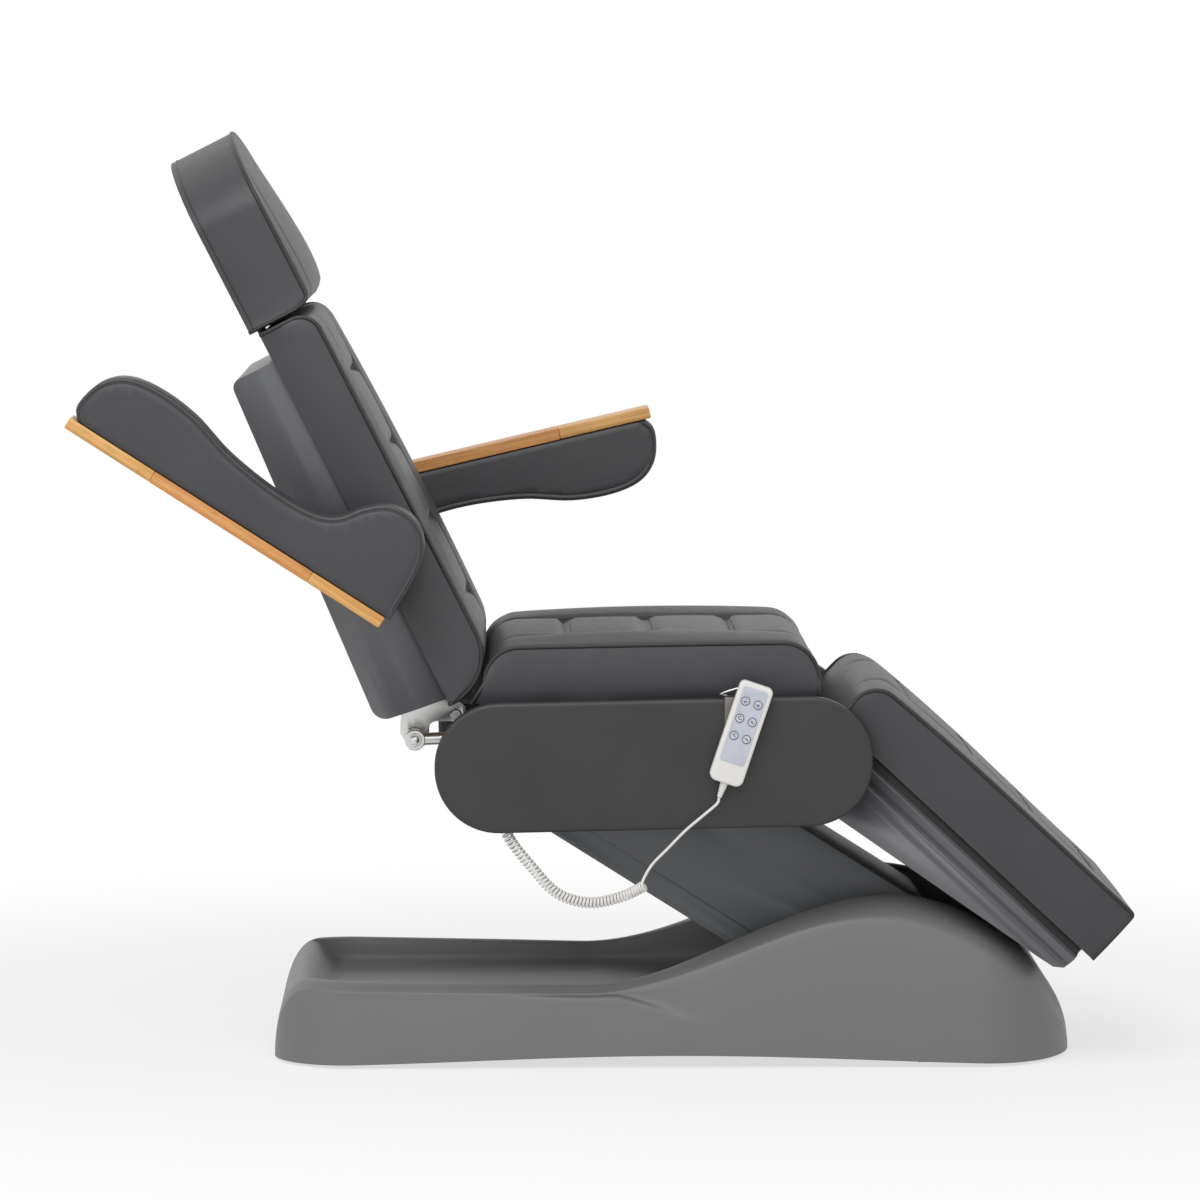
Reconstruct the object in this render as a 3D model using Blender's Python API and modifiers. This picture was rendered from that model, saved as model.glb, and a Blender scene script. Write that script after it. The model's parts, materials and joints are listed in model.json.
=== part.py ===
"""Electric treatment chair: base, parallelogram lift, seat, reclining back, leg rest and armrests.

Metres, +Z up, +X towards the feet. The chair is modelled at its rest pose: lift down, back upright,
leg rest down, right armrest swung back and left armrest in use.
"""

import math

import bmesh
import bpy
from mathutils import Matrix, Vector

# General
CLEARANCE = 0.0003
ARC_STEPS = 3

# Base
BASE_HALF_WIDTH = 0.280
BASE_REAR_X = -0.479
BASE_FRONT_X = 0.692
BASE_REAR_ROUNDING = 0.120
BASE_FRONT_ROUNDING = 0.145
BASE_FRONT_NARROWING = 0.200
BASE_RIM_HEIGHT = 0.117
BASE_REAR_RISE = 0.008
BASE_TRAY_HEIGHT = 0.080
BASE_TRAY_REAR_X = -0.418
BASE_TRAY_FRONT_X = 0.560
BASE_RIM_WIDTH = 0.045
BASE_HUMP_RISE = 0.128
BASE_HUMP_X = 0.428
BASE_HUMP_START_X = -0.020
BASE_EDGE_HEIGHT = 0.004
BASE_ARCH = 0.014
BASE_WALL = 0.004
BASE_DRAFT = 0.002
VALLEY_HALF_WIDTH = 0.1760
SLOT_REAR_X = 0.250
SLOT_FRONT_X = 0.546
PLATE_REAR_X = -0.350
PLATE_FRONT_X = 0.540
PLATE_UNDERSIDE = 0.020
PLATE_THICKNESS = 0.010
SKID_LENGTH = 0.060
SKID_HALF_WIDTH = 0.230
SKID_INSET = 0.020
UPRIGHT_INNER_Y = 0.1570
UPRIGHT_THICKNESS = 0.008

# Lift
LIFT_PIVOT_X = 0.430
LIFT_PIVOT_Z = 0.160
LIFT_ARM_LENGTH = 0.520
LIFT_ARM_TILT = math.radians(32.2)
REAR_PIVOT_BACK = 0.109
REAR_PIVOT_DOWN = 0.060
FRONT_ARM_HALF_WIDTH = 0.150
FRONT_ARM_REAR_DEPTH = 0.0925
FRONT_ARM_FRONT_DEPTH = 0.0765
FRONT_ARM_WALL = 0.004
FRONT_ARM_TIP_DEPTH = 0.044
REAR_ARM_HALF_WIDTH = 0.1445
REAR_ARM_HALF_DEPTH = 0.0165
REAR_ARM_WALL_TOP = 0.040
REAR_ARM_WALL = 0.003
ARM_END = 0.030
SHAFT_RADIUS = 0.010
SHAFT_HALF_LENGTH = 0.1685
ROD_RADIUS = 0.009
TUBE_RADIUS = 0.019
TUBE_BORE_RADIUS = 0.0155
TUBE_SOCKET = 0.004
ROD_END_GAP = 0.020
EYE_RADIUS = 0.015
EYE_HALF_WIDTH = 0.015
MOTOR_HALF_HEIGHT = 0.022
LIFT_MOTOR_START = 0.065
LIFT_MOTOR_LENGTH = 0.085
LIFT_TUBE_LENGTH = 0.190
LIFT_ROD_LENGTH = 0.260

# Seat, in a frame on the front arm's upper pivot
CHEEK_INNER_Y = 0.1553
CHEEK_THICKNESS = 0.010
BOARD_UNDERSIDE = 0.083
SEAT_BOARD_THICKNESS = 0.012
SEAT_BOARD_REAR_X = -0.168
SEAT_BOARD_FRONT_X = 0.312
SEAT_CUSHION_REAR_X = -0.179
SEAT_CUSHION_LENGTH = 0.501
CUSHION_WIDTH = 0.580
SEAT_CUSHION_THICKNESS = 0.080
SEAT_CUSHION_RISE = 0.008
PANEL_LENGTH = 0.631
PANEL_HEIGHT = 0.188
PANEL_X = 0.0830
PANEL_Z = 0.0095
PANEL_TILT = math.radians(-1.2)
PANEL_THICKNESS = 0.022
PANEL_INNER_Y = 0.302
PANEL_EDGE = 0.006
BACK_HINGE_X = -0.202
BACK_HINGE_Z = 0.068
LEG_HINGE_X = 0.336
LEG_HINGE_Z = 0.052
HINGE_SHAFT_RADIUS = 0.008
HINGE_SHAFT_HALF_LENGTH = 0.1765
HINGE_PLATE_THICKNESS = 0.008
BACK_MOTOR_X = 0.210
BACK_MOTOR_Z = 0.051
LEG_MOTOR_X = -0.050
LEG_MOTOR_Z = 0.053
MOTOR_Y = 0.190
MOTOR_HALF_WIDTH = 0.022
MOTOR_LENGTH = 0.095
MOTOR_REAR = 0.020
STUD_RADIUS = 0.008
BACK_TUBE_LENGTH = 0.180
BACK_ROD_LENGTH = 0.290
BACK_STROKE = 0.066
LEG_TUBE_LENGTH = 0.160
LEG_ROD_LENGTH = 0.250
CONTROL_BOX_X = 0.150
CONTROL_BOX_LENGTH = 0.140
CONTROL_BOX_HALF_WIDTH = 0.065
CONTROL_BOX_HEIGHT = 0.050
INLET_WIDTH = 0.028
INLET_HEIGHT = 0.020
INLET_DEPTH = 0.015

# Back, in a frame on its hinge: Z up along the back, X out of its front
BACK_TILT = math.radians(-27.0)
BACK_CUSHION_BOTTOM = 0.028
BACK_CUSHION_LENGTH = 0.592
BACK_CUSHION_THICKNESS = 0.084
BACK_CUSHION_REAR = 0.004
BACK_BOARD_THICKNESS = 0.018
BACK_BOARD_BOTTOM = 0.042
BACK_COVER_HALF_WIDTH = 0.280
BACK_COVER_WALL = 0.004
BACK_COVER_TOP = 0.582
BACK_COVER_TOP_DEPTH = 0.066
BACK_COVER_BOTTOM_DEPTH = 0.103
BACK_COVER_BOTTOM = 0.036
COVER_EDGE = 0.012
LEVER_PIN_BACK = 0.0689
LEVER_PIN_DOWN = 0.0031
LEVER_BOLT_RADIUS = 0.006
LEVER_BOLT_HEAD_RADIUS = 0.010
LEVER_BOLT_HEAD = 0.007
PLATE_TOP = 0.170
ARM_PIVOT_HEIGHT = 0.282
ARM_PIVOT_DEPTH = -0.005

# Headrest, in the back's frame
HEAD_BOTTOM = 0.638
HEAD_LENGTH = 0.266
HEAD_WIDTH = 0.540
HEAD_THICKNESS = 0.089
HEAD_REAR = 0.003
HEAD_BOARD_THICKNESS = 0.012
HEAD_BOARD_INSET = 0.004
HEAD_ARCH = 0.110
HEAD_ARCH_STEPS = 16
POST_HALF_WIDTH = 0.060
POST_THICKNESS = 0.008
POST_FRONT = 0.000
POST_BOTTOM = 0.470
POST_TOP = 0.780
POST_SLOT_BOTTOM = 0.460

# Armrests, in frames on their studs: X along the wood to the front, Z out of the wood
ARM_USE_TILT = math.radians(13.8)
ARM_SWING = math.radians(134.1)
ARM_INNER_Y = 0.297
ARM_PAD_WIDTH = 0.080
ARM_PAD_EDGE = 0.010
ARM_PAD_REACH = 0.455
ARM_PAD_DROP = 0.0835
ARM_WOOD_OVERHANG = 0.002
ARM_WOOD_REAR_X = -0.076
ARM_WOOD_FRONT_X = 0.454
ARM_WOOD_UNDERSIDE = 0.0583
ARM_WOOD_THICKNESS = 0.017
ARM_STUD_RADIUS = 0.008
ARM_STUD_INNER_Y = 0.205
ARM_STUD_OUTER_Y = 0.345

# Leg rest, in a frame on its hinge: X along the leg rest, Z out of its top
LEG_TILT = math.radians(43.0)
LEG_CUSHION_START = -0.004
LEG_CUSHION_LENGTH = 0.509
LEG_CUSHION_THICKNESS = 0.091
LEG_CUSHION_TAPER = 0.014
LEG_CUSHION_UNDERSIDE = 0.020
LEG_BOARD_THICKNESS = 0.012
LEG_COVER_START = 0.060
LEG_COVER_END = 0.490
LEG_COVER_HALF_WIDTH = 0.270
LEG_COVER_START_DEPTH = 0.086
LEG_COVER_END_DEPTH = 0.028
LEG_COVER_WALL = 0.004
LEG_PLATE_END = 0.240
LEG_PIN_ALONG = 0.0294
LEG_PIN_DOWN = 0.0697
LEG_PIN_RADIUS = 0.006

# Cushion form
CUSHION_CROWN = 0.010
CUSHION_EDGE_DROP = 0.006
CUSHION_EDGE_WIDTH = 0.018
CUSHION_SIDE_PULL = 0.005
CUSHION_SIDE_SWELL = 0.003
SEAM_DEPTH = 0.006
SEAM_HALF_WIDTH = 0.014
SEAM_BAND = 0.150
SEAM_SPACING = 0.125

# Handset, in a frame at its middle: Z along the handset, -Y out of its front
HANDSET_X = 0.2075
HANDSET_Z = 0.0570
HANDSET_Y = -0.339
HANDSET_TILT = math.radians(18.6)
HANDSET_LENGTH = 0.150
HANDSET_WIDTH = 0.050
HANDSET_HALF_DEPTH = 0.011
HANDSET_CORNER = 0.008
OVERLAY_WIDTH = 0.037
OVERLAY_LENGTH = 0.112
OVERLAY_Z = 0.012
OVERLAY_THICKNESS = 0.0006
KEY_RADIUS = 0.0065
KEY_COLUMN_X = 0.0095
KEY_TOP_Z = 0.047
KEY_ROW_STEP = 0.026
KEY_PROUD = 0.0008
KEY_HEIGHT = 0.0040
KEY_TRAVEL = 0.0008
BOOT_LENGTH = 0.022
BOOT_TOP_RADIUS = 0.0062
BOOT_END_RADIUS = 0.0036
HOOK_WIDTH = 0.014
HOOK_STRIP = 0.0015
HOOK_X = 0.1915
HOOK_DROP = 0.040
HOOK_TONGUE = 0.006

# Handset cord, in the seat's frame
CORD_RADIUS = 0.0021
CURL_RADIUS = 0.0062
CURL_COUNT = 42
CURL_POINTS = 8
LEAD_STEP = 0.010
GLAND_RADIUS = 0.008
GLAND_LENGTH = 0.020
CORD_ROUTE = (
    (0.1730, -0.3390, -0.0447),
    (0.1550, -0.3395, -0.0615),
    (0.1310, -0.3405, -0.0815),
    (0.1060, -0.3410, -0.1105),
    (0.0830, -0.3410, -0.1385),
    (0.0610, -0.3405, -0.1615),
    (0.0350, -0.3400, -0.1790),
    (-0.0040, -0.3390, -0.1875),
    (-0.0400, -0.3370, -0.1815),
    (-0.0660, -0.3330, -0.1665),
    (-0.0900, -0.3240, -0.1405),
    (-0.1130, -0.3100, -0.1145),
    (-0.1290, -0.2960, -0.0915),
    (-0.1360, -0.2850, -0.0675),
    (-0.1380, -0.2780, -0.0385),
    (-0.1385, -0.2740, -0.0055),
    (-0.1385, -0.2720, 0.0345),
)
CURL_FIRST = 6
CURL_LAST = 14

# Finishes: colour, roughness and metallic value
VINYL = ((0.075, 0.075, 0.080), 0.50, 0.0)
BOARD = ((0.45, 0.33, 0.20), 0.70, 0.0)
BASE_PLASTIC = ((0.175, 0.175, 0.175), 0.45, 0.0)
COVER_PLASTIC = ((0.140, 0.142, 0.148), 0.40, 0.0)
ARM_COVER = ((0.098, 0.102, 0.107), 0.45, 0.0)
OAK = ((0.60, 0.33, 0.11), 0.40, 0.0)
ZINC = ((0.60, 0.60, 0.59), 0.30, 1.0)
PAINTED_STEEL = ((0.035, 0.035, 0.037), 0.55, 1.0)
RUBBER = ((0.020, 0.020, 0.020), 0.85, 0.0)
BLACK_PLASTIC = ((0.025, 0.025, 0.026), 0.50, 0.0)
HANDSET_PLASTIC = ((0.80, 0.79, 0.75), 0.35, 0.0)
OVERLAY_FILM = ((0.50, 0.54, 0.62), 0.40, 0.0)
KEY_FILM = ((0.72, 0.74, 0.79), 0.40, 0.0)
CORD_PLASTIC = ((0.74, 0.72, 0.66), 0.40, 0.0)

for old in list(bpy.data.objects):
    bpy.data.objects.remove(old, do_unlink=True)
parts = bpy.data.collections.new("treatment_chair")
cutters = bpy.data.collections.new("cutters")
for collection in (parts, cutters):
    bpy.context.scene.collection.children.link(collection)


def material(name, finish):
    colour, roughness, metallic = finish
    made = bpy.data.materials.new(name)
    made.use_nodes = True
    shader = made.node_tree.nodes["Principled BSDF"]
    shader.inputs["Base Color"].default_value = (*colour, 1.0)
    shader.inputs["Roughness"].default_value = roughness
    shader.inputs["Metallic"].default_value = metallic
    return made


def frame(name, parent=None, x=0.0, y=0.0, z=0.0, turn=0.0):
    empty = bpy.data.objects.new(name, None)
    empty.location = (x, y, z)
    empty.rotation_euler = (0.0, turn, 0.0)
    empty.parent = parent
    parts.objects.link(empty)
    return empty


def piece(name, mesh, parent, finish, smooth=False):
    made = bpy.data.objects.new(name, mesh)
    made.parent = parent
    parts.objects.link(made)
    mesh.materials.clear()
    mesh.materials.append(material(name, finish))
    if smooth:
        mesh.shade_smooth()
        mesh.set_sharp_from_angle(angle=math.radians(35))
    return made


def combine(target, mesh, parent, operation):
    tool = bpy.data.objects.new(target.name + "_tool", mesh)
    tool.parent = parent
    tool.hide_render = True
    tool.display_type = "WIRE"
    cutters.objects.link(tool)
    modifier = target.modifiers.new(operation.lower(), "BOOLEAN")
    modifier.operation = operation
    modifier.solver = "EXACT"
    modifier.object = tool


def cut(target, mesh, parent):
    combine(target, mesh, parent, "DIFFERENCE")


def join(target, mesh, parent):
    combine(target, mesh, parent, "UNION")


def finished(made, name):
    mesh = bpy.data.meshes.new(name)
    made.to_mesh(mesh)
    made.free()
    return mesh


def box(low, high, edge=0.0):
    made = bmesh.new()
    size = Vector(high) - Vector(low)
    middle = (Vector(high) + Vector(low)) / 2
    place = Matrix.Translation(middle) @ Matrix.Diagonal((*size, 1.0))
    bmesh.ops.create_cube(made, size=1.0, matrix=place)
    if edge:
        bmesh.ops.bevel(made, geom=made.edges[:], offset=edge, segments=2, profile=0.5, affect="EDGES")
    return finished(made, "box")


def cylinder(radius, length, middle, axis="Y", end_radius=None, sides=16):
    made = bmesh.new()
    turns = {"X": Matrix.Rotation(math.pi / 2, 4, "Y"), "Y": Matrix.Rotation(-math.pi / 2, 4, "X")}
    place = Matrix.Translation(middle) @ turns.get(axis, Matrix.Identity(4))
    last = radius if end_radius is None else end_radius
    bmesh.ops.create_cone(
        made, cap_ends=True, segments=sides, radius1=radius, radius2=last, depth=length, matrix=place
    )
    return finished(made, "cylinder")


def side_cylinder(radius, x, z, low, high, sides=16):
    return cylinder(radius, high - low, (x, (low + high) / 2, z), sides=sides)


def arc(start, end, centre, steps):
    first = math.atan2(start[1] - centre[1], start[0] - centre[0])
    last = math.atan2(end[1] - centre[1], end[0] - centre[0])
    sweep = (last - first + math.pi) % (2 * math.pi) - math.pi
    radius = math.dist(start, centre)
    for step in range(steps + 1):
        angle = first + sweep * step / steps
        yield centre[0] + radius * math.cos(angle), centre[1] + radius * math.sin(angle)


def rounded(corners, steps=ARC_STEPS):
    """Closed outline through corners (x, z, radius), each rounded by an arc."""
    points = []
    for index, (x, z, radius) in enumerate(corners):
        corner = Vector((x, z))
        before = (Vector(corners[index - 1][:2]) - corner).normalized()
        after = (Vector(corners[(index + 1) % len(corners)][:2]) - corner).normalized()
        if radius == 0.0:
            points.append((x, z))
            continue
        half = before.angle(after) / 2
        reach = radius / math.tan(half)
        centre = corner + (before + after).normalized() * radius / math.sin(half)
        points.extend(arc(corner + before * reach, corner + after * reach, centre, steps))
    return points


def smooth_run(points, steps):
    """Catmull-Rom points through an open run of points of any size."""
    knots = [Vector(point) for point in points]
    knots = [2 * knots[0] - knots[1], *knots, 2 * knots[-1] - knots[-2]]
    run = []
    for index in range(1, len(knots) - 2):
        before, here, there, after = knots[index - 1 : index + 3]
        for step in range(steps):
            t = step / steps
            bend = (2 * before - 5 * here + 4 * there - after) * t * t
            twist = (3 * here - before - 3 * there + after) * t**3
            run.append((2 * here + (there - before) * t + bend + twist) / 2)
    run.append(knots[-2])
    return run


def welded(mesh, distance=1e-5):
    made = bmesh.new()
    made.from_mesh(mesh)
    bmesh.ops.remove_doubles(made, verts=made.verts[:], dist=distance)
    bmesh.ops.recalc_face_normals(made, faces=made.faces[:])
    made.to_mesh(mesh)
    made.free()
    return mesh


def curve_mesh(curve):
    holder = bpy.data.objects.new("outline", curve)
    parts.objects.link(holder)
    graph = bpy.context.evaluated_depsgraph_get()
    mesh = bpy.data.meshes.new_from_object(holder.evaluated_get(graph))
    bpy.data.objects.remove(holder)
    bpy.data.curves.remove(curve)
    return welded(mesh)


def side_solid(points, low, high, edge=0.0):
    """Outline in X and Z, made solid between two values of Y, with its rims rounded by edge."""
    curve = bpy.data.curves.new("outline", "CURVE")
    curve.dimensions = "2D"
    curve.fill_mode = "BOTH"
    curve.extrude = (high - low) / 2 - edge
    curve.bevel_depth = edge
    curve.bevel_resolution = 1
    curve.offset = -edge
    spline = curve.splines.new("POLY")
    spline.points.add(len(points) - 1)
    for point, (x, z) in zip(spline.points, points):
        point.co = (x, z, 0.0, 1.0)
    spline.use_cyclic_u = True
    mesh = curve_mesh(curve)
    stand = Matrix.Rotation(math.pi / 2, 4, "X")
    mesh.transform(Matrix.Translation((0.0, (low + high) / 2, 0.0)) @ stand)
    return mesh


def tube(points, radius, resolution):
    curve = bpy.data.curves.new("tube", "CURVE")
    curve.dimensions = "3D"
    curve.bevel_depth = radius
    curve.bevel_resolution = resolution
    curve.use_fill_caps = True
    spline = curve.splines.new("POLY")
    spline.points.add(len(points) - 1)
    for point, place in zip(spline.points, points):
        point.co = (*place, 1.0)
    return curve_mesh(curve)


def sides(low, high):
    """Name and Y limits of the right and left copies of a piece between two distances from the middle."""
    return (("right", -high, -low), ("left", low, high))


def cushion(length, width, thickness, first, last, lean=0.0, seams=(), band=SEAM_BAND, rise=0.0, taper=0.0, arch=0.0):
    """Cushion with X along it, Z out of its top, rounded at both ends, crowned and sewn in channels."""
    rows = {0.0, 0.12 * first, 0.4 * first, first}
    rows |= {length - part * last for part in (0.0, 0.12, 0.4, 1.0)}
    for seam in seams:
        rows |= {seam - SEAM_HALF_WIDTH, seam, seam + SEAM_HALF_WIDTH}
    half = width / 2
    columns = {0.0, half - CUSHION_EDGE_WIDTH, band - SEAM_HALF_WIDTH, band, band + SEAM_HALF_WIDTH}
    if arch:
        columns |= {half * share for share in (0.70, 0.80, 0.87, 0.965, 0.99)}
    columns |= {-column for column in columns}
    made = bmesh.new()
    place = Matrix.Translation((length / 2, 0.0, thickness / 2))
    bmesh.ops.create_cube(made, size=1.0, matrix=place @ Matrix.Diagonal((length, width, thickness, 1.0)))
    planes = [((row, 0.0, 0.0), (1.0, 0.0, 0.0)) for row in rows]
    planes += [((0.0, column, 0.0), (0.0, 1.0, 0.0)) for column in columns]
    planes.append(((0.0, 0.0, 0.55 * thickness), (0.0, 0.0, 1.0)))
    for point, normal in planes:
        geometry = made.verts[:] + made.edges[:] + made.faces[:]
        bmesh.ops.bisect_plane(made, geom=geometry, dist=1e-6, plane_co=point, plane_no=normal)
    for vertex in made.verts:
        along, across, level = vertex.co.x, vertex.co.y, vertex.co.z / thickness
        share = along / length
        reach = abs(across) / half
        top = thickness + rise * share - taper * max(0.0, 1 - 2 * share) ** 2
        for radius, gap in ((first, along), (last, length - along)):
            if gap < radius:
                top -= radius - math.sqrt(max(0.0, radius**2 - (radius - gap) ** 2))
        top += CUSHION_CROWN * (1 - reach**2) * math.sin(math.pi * share)
        edge = max(0.0, abs(across) - half + CUSHION_EDGE_WIDTH) / CUSHION_EDGE_WIDTH
        top -= CUSHION_EDGE_DROP * edge**2
        in_band = abs(across) < band + 1e-4
        on_seam = in_band and any(abs(along - seam) < 1e-4 for seam in seams)
        if on_seam or abs(abs(across) - band) < 1e-4:
            top -= SEAM_DEPTH * math.sin(math.pi * share)
        pull = CUSHION_SIDE_PULL * math.sin(math.pi * share)
        swell = CUSHION_SIDE_SWELL * math.sin(math.pi * level)
        wide = 1 - (pull - swell) / half if edge else 1.0
        along *= 1 - arch / length * (1 - math.sqrt(max(0.0, 1 - reach**2)))
        vertex.co = (along + lean * level * (1 - share), across * wide, top * level)
    bmesh.ops.recalc_face_normals(made, faces=made.faces[:])
    return finished(made, "cushion")


def upright_cushion(mesh):
    """Turns a cushion's length from X to Z and its top from Z to X."""
    mesh.transform(Matrix(((0, 0, 1, 0), (0, -1, 0, 0), (1, 0, 0, 0), (0, 0, 0, 1))))
    return mesh


def base_sections():
    """Half sections of the base cover, from the outer rim of its skirt to the middle, rear to front."""
    nose = (BASE_FRONT_X - BASE_HUMP_X) / 8
    climb = (BASE_HUMP_X - BASE_HUMP_START_X) / 8
    stations = [BASE_REAR_X + offset for offset in (0.0, 0.004, 0.012, 0.024, 0.040)]
    straight = BASE_REAR_X + BASE_REAR_ROUNDING
    stations += [BASE_TRAY_REAR_X, BASE_TRAY_REAR_X + 0.030, straight, (straight + BASE_HUMP_START_X) / 2]
    stations += [BASE_HUMP_START_X + climb * step for step in range(8)]
    stations += [BASE_HUMP_X + nose * step for step in range(8)]
    stations += [BASE_FRONT_X - 0.015, BASE_FRONT_X - 0.004, BASE_FRONT_X]
    for x in stations:
        yield x, base_section(x)


def ramp(value, start, end):
    share = min(1.0, max(0.0, (value - start) / (end - start)))
    return share * share * (3 - 2 * share)


def base_crest(x):
    """Height of the cover's rim and humps along the chair."""
    if x <= BASE_HUMP_X:
        crest = BASE_RIM_HEIGHT + BASE_HUMP_RISE * ramp(x, BASE_HUMP_START_X, BASE_HUMP_X)
        crest += BASE_REAR_RISE * max(0.0, BASE_HUMP_START_X - x) / (BASE_HUMP_START_X - BASE_TRAY_REAR_X)
    else:
        share = (x - BASE_HUMP_X) / (BASE_FRONT_X - BASE_HUMP_X)
        crest = (BASE_RIM_HEIGHT + BASE_HUMP_RISE) * max(0.0, 1 - share**1.8) ** 0.55
    rear = min(1.0, (x - BASE_REAR_X) / (BASE_TRAY_REAR_X - BASE_REAR_X))
    return crest * math.sqrt(max(0.0, 1 - (1 - rear) ** 2.6))


def base_section(x):
    rear_gap = BASE_REAR_ROUNDING - (x - BASE_REAR_X)
    front_gap = BASE_FRONT_ROUNDING - (BASE_FRONT_X - x)
    wide = BASE_HALF_WIDTH
    for radius, narrowing, gap in (
        (BASE_REAR_ROUNDING, BASE_REAR_ROUNDING, rear_gap),
        (BASE_FRONT_ROUNDING, BASE_FRONT_NARROWING, front_gap),
    ):
        if gap > 0:
            wide -= narrowing * (1 - math.sqrt(max(0.0, 1 - (gap / radius) ** 2)))
    arch = BASE_ARCH * math.sin(math.pi * (x - BASE_REAR_X) / (BASE_FRONT_X - BASE_REAR_X)) ** 2
    foot = BASE_EDGE_HEIGHT + arch
    crest = max(base_crest(x), foot + 0.002)
    drop = (crest - foot) * (0.10 + 0.22 * ramp(x, SLOT_REAR_X, BASE_FRONT_X))
    shoulder = crest - drop
    narrow = ramp(x, BASE_HUMP_START_X, SLOT_REAR_X)
    inner = (wide - BASE_RIM_WIDTH) * (1 - narrow) + min(VALLEY_HALF_WIDTH, wide - 0.02) * narrow
    sunk = ramp(x, BASE_REAR_X + 0.040, BASE_TRAY_REAR_X + 0.030)
    sunk *= 1 - ramp(x, SLOT_FRONT_X, BASE_TRAY_FRONT_X + 0.060)
    floor = crest - (crest - min(crest, BASE_TRAY_HEIGHT)) * sunk - 0.0005
    low = foot + 0.5 * (shoulder - foot)
    middle = (wide - 0.010 + inner) / 2
    return (
        (wide, foot),
        (wide - BASE_DRAFT, low),
        (wide - 0.006, shoulder),
        (wide - 0.016, shoulder + 0.45 * drop),
        (middle, shoulder + 0.85 * drop),
        (inner, crest),
        (inner - 0.005, floor + 0.82 * (crest - floor)),
        (inner - 0.007, floor),
        (0.5 * inner, floor),
        (0.0, floor),
    )


def base_cover():
    made = bmesh.new()
    loops = []
    for x, section in base_sections():
        loops.append([made.verts.new((x, y, z)) for y, z in section])
    for near, far in zip(loops, loops[1:]):
        for index in range(len(near) - 1):
            made.faces.new((near[index + 1], far[index + 1], far[index], near[index]))
    cover = piece("base_cover", finished(made, "base_cover"), base, BASE_PLASTIC, smooth=True)
    mirror = cover.modifiers.new("mirror", "MIRROR")
    mirror.use_axis = (False, True, False)
    mirror.merge_threshold = 0.0001
    wall = cover.modifiers.new("wall", "SOLIDIFY")
    wall.thickness = BASE_WALL
    wall.offset = -1.0
    slot_half = VALLEY_HALF_WIDTH - 0.0070 - 0.0005
    low = (SLOT_REAR_X, -slot_half, BASE_TRAY_HEIGHT - 4 * BASE_WALL)
    high = (SLOT_FRONT_X, slot_half, BASE_TRAY_HEIGHT + 4 * BASE_WALL)
    cut(cover, box(low, high), base)


def base_frame():
    half_width = BASE_HALF_WIDTH - BASE_WALL - BASE_DRAFT / 2 - CLEARANCE
    plate_top = PLATE_UNDERSIDE + PLATE_THICKNESS
    low = (PLATE_REAR_X, -half_width, PLATE_UNDERSIDE)
    piece("base_plate", box(low, (PLATE_FRONT_X, half_width, plate_top)), base, PAINTED_STEEL)
    for name, start in (
        ("skid_rear", PLATE_REAR_X + SKID_INSET),
        ("skid_front", PLATE_FRONT_X - SKID_INSET - SKID_LENGTH),
    ):
        high = (start + SKID_LENGTH, SKID_HALF_WIDTH, PLATE_UNDERSIDE - CLEARANCE)
        piece(name, box((start, -SKID_HALF_WIDTH, 0.0), high), base, RUBBER)
    foot = plate_top + CLEARANCE
    rear_x = LIFT_PIVOT_X - REAR_PIVOT_BACK
    rear_z = LIFT_PIVOT_Z - REAR_PIVOT_DOWN
    outline = rounded(
        (
            (rear_x - 0.040, foot, 0.0),
            (LIFT_PIVOT_X + 0.045, foot, 0.0),
            (LIFT_PIVOT_X + 0.030, LIFT_PIVOT_Z + 0.026, 0.024),
            (LIFT_PIVOT_X - 0.030, LIFT_PIVOT_Z + 0.026, 0.024),
            (rear_x - 0.020, rear_z + 0.028, 0.022),
        )
    )
    for side, low, high in sides(UPRIGHT_INNER_Y, UPRIGHT_INNER_Y + UPRIGHT_THICKNESS):
        upright = piece("base_upright_" + side, side_solid(outline, low, high), base, PAINTED_STEEL)
        for x, z in ((LIFT_PIVOT_X, LIFT_PIVOT_Z), (rear_x, rear_z)):
            cut(upright, side_cylinder(SHAFT_RADIUS + CLEARANCE, x, z, low - 0.01, high + 0.01), base)
    shaft("lift_shaft_lower", base, LIFT_PIVOT_X, LIFT_PIVOT_Z)
    shaft("rear_arm_shaft_lower", base, rear_x, rear_z)


def shaft(name, parent, x, z):
    mesh = side_cylinder(SHAFT_RADIUS, x, z, -SHAFT_HALF_LENGTH, SHAFT_HALF_LENGTH)
    piece(name, mesh, parent, ZINC, smooth=True)


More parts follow.
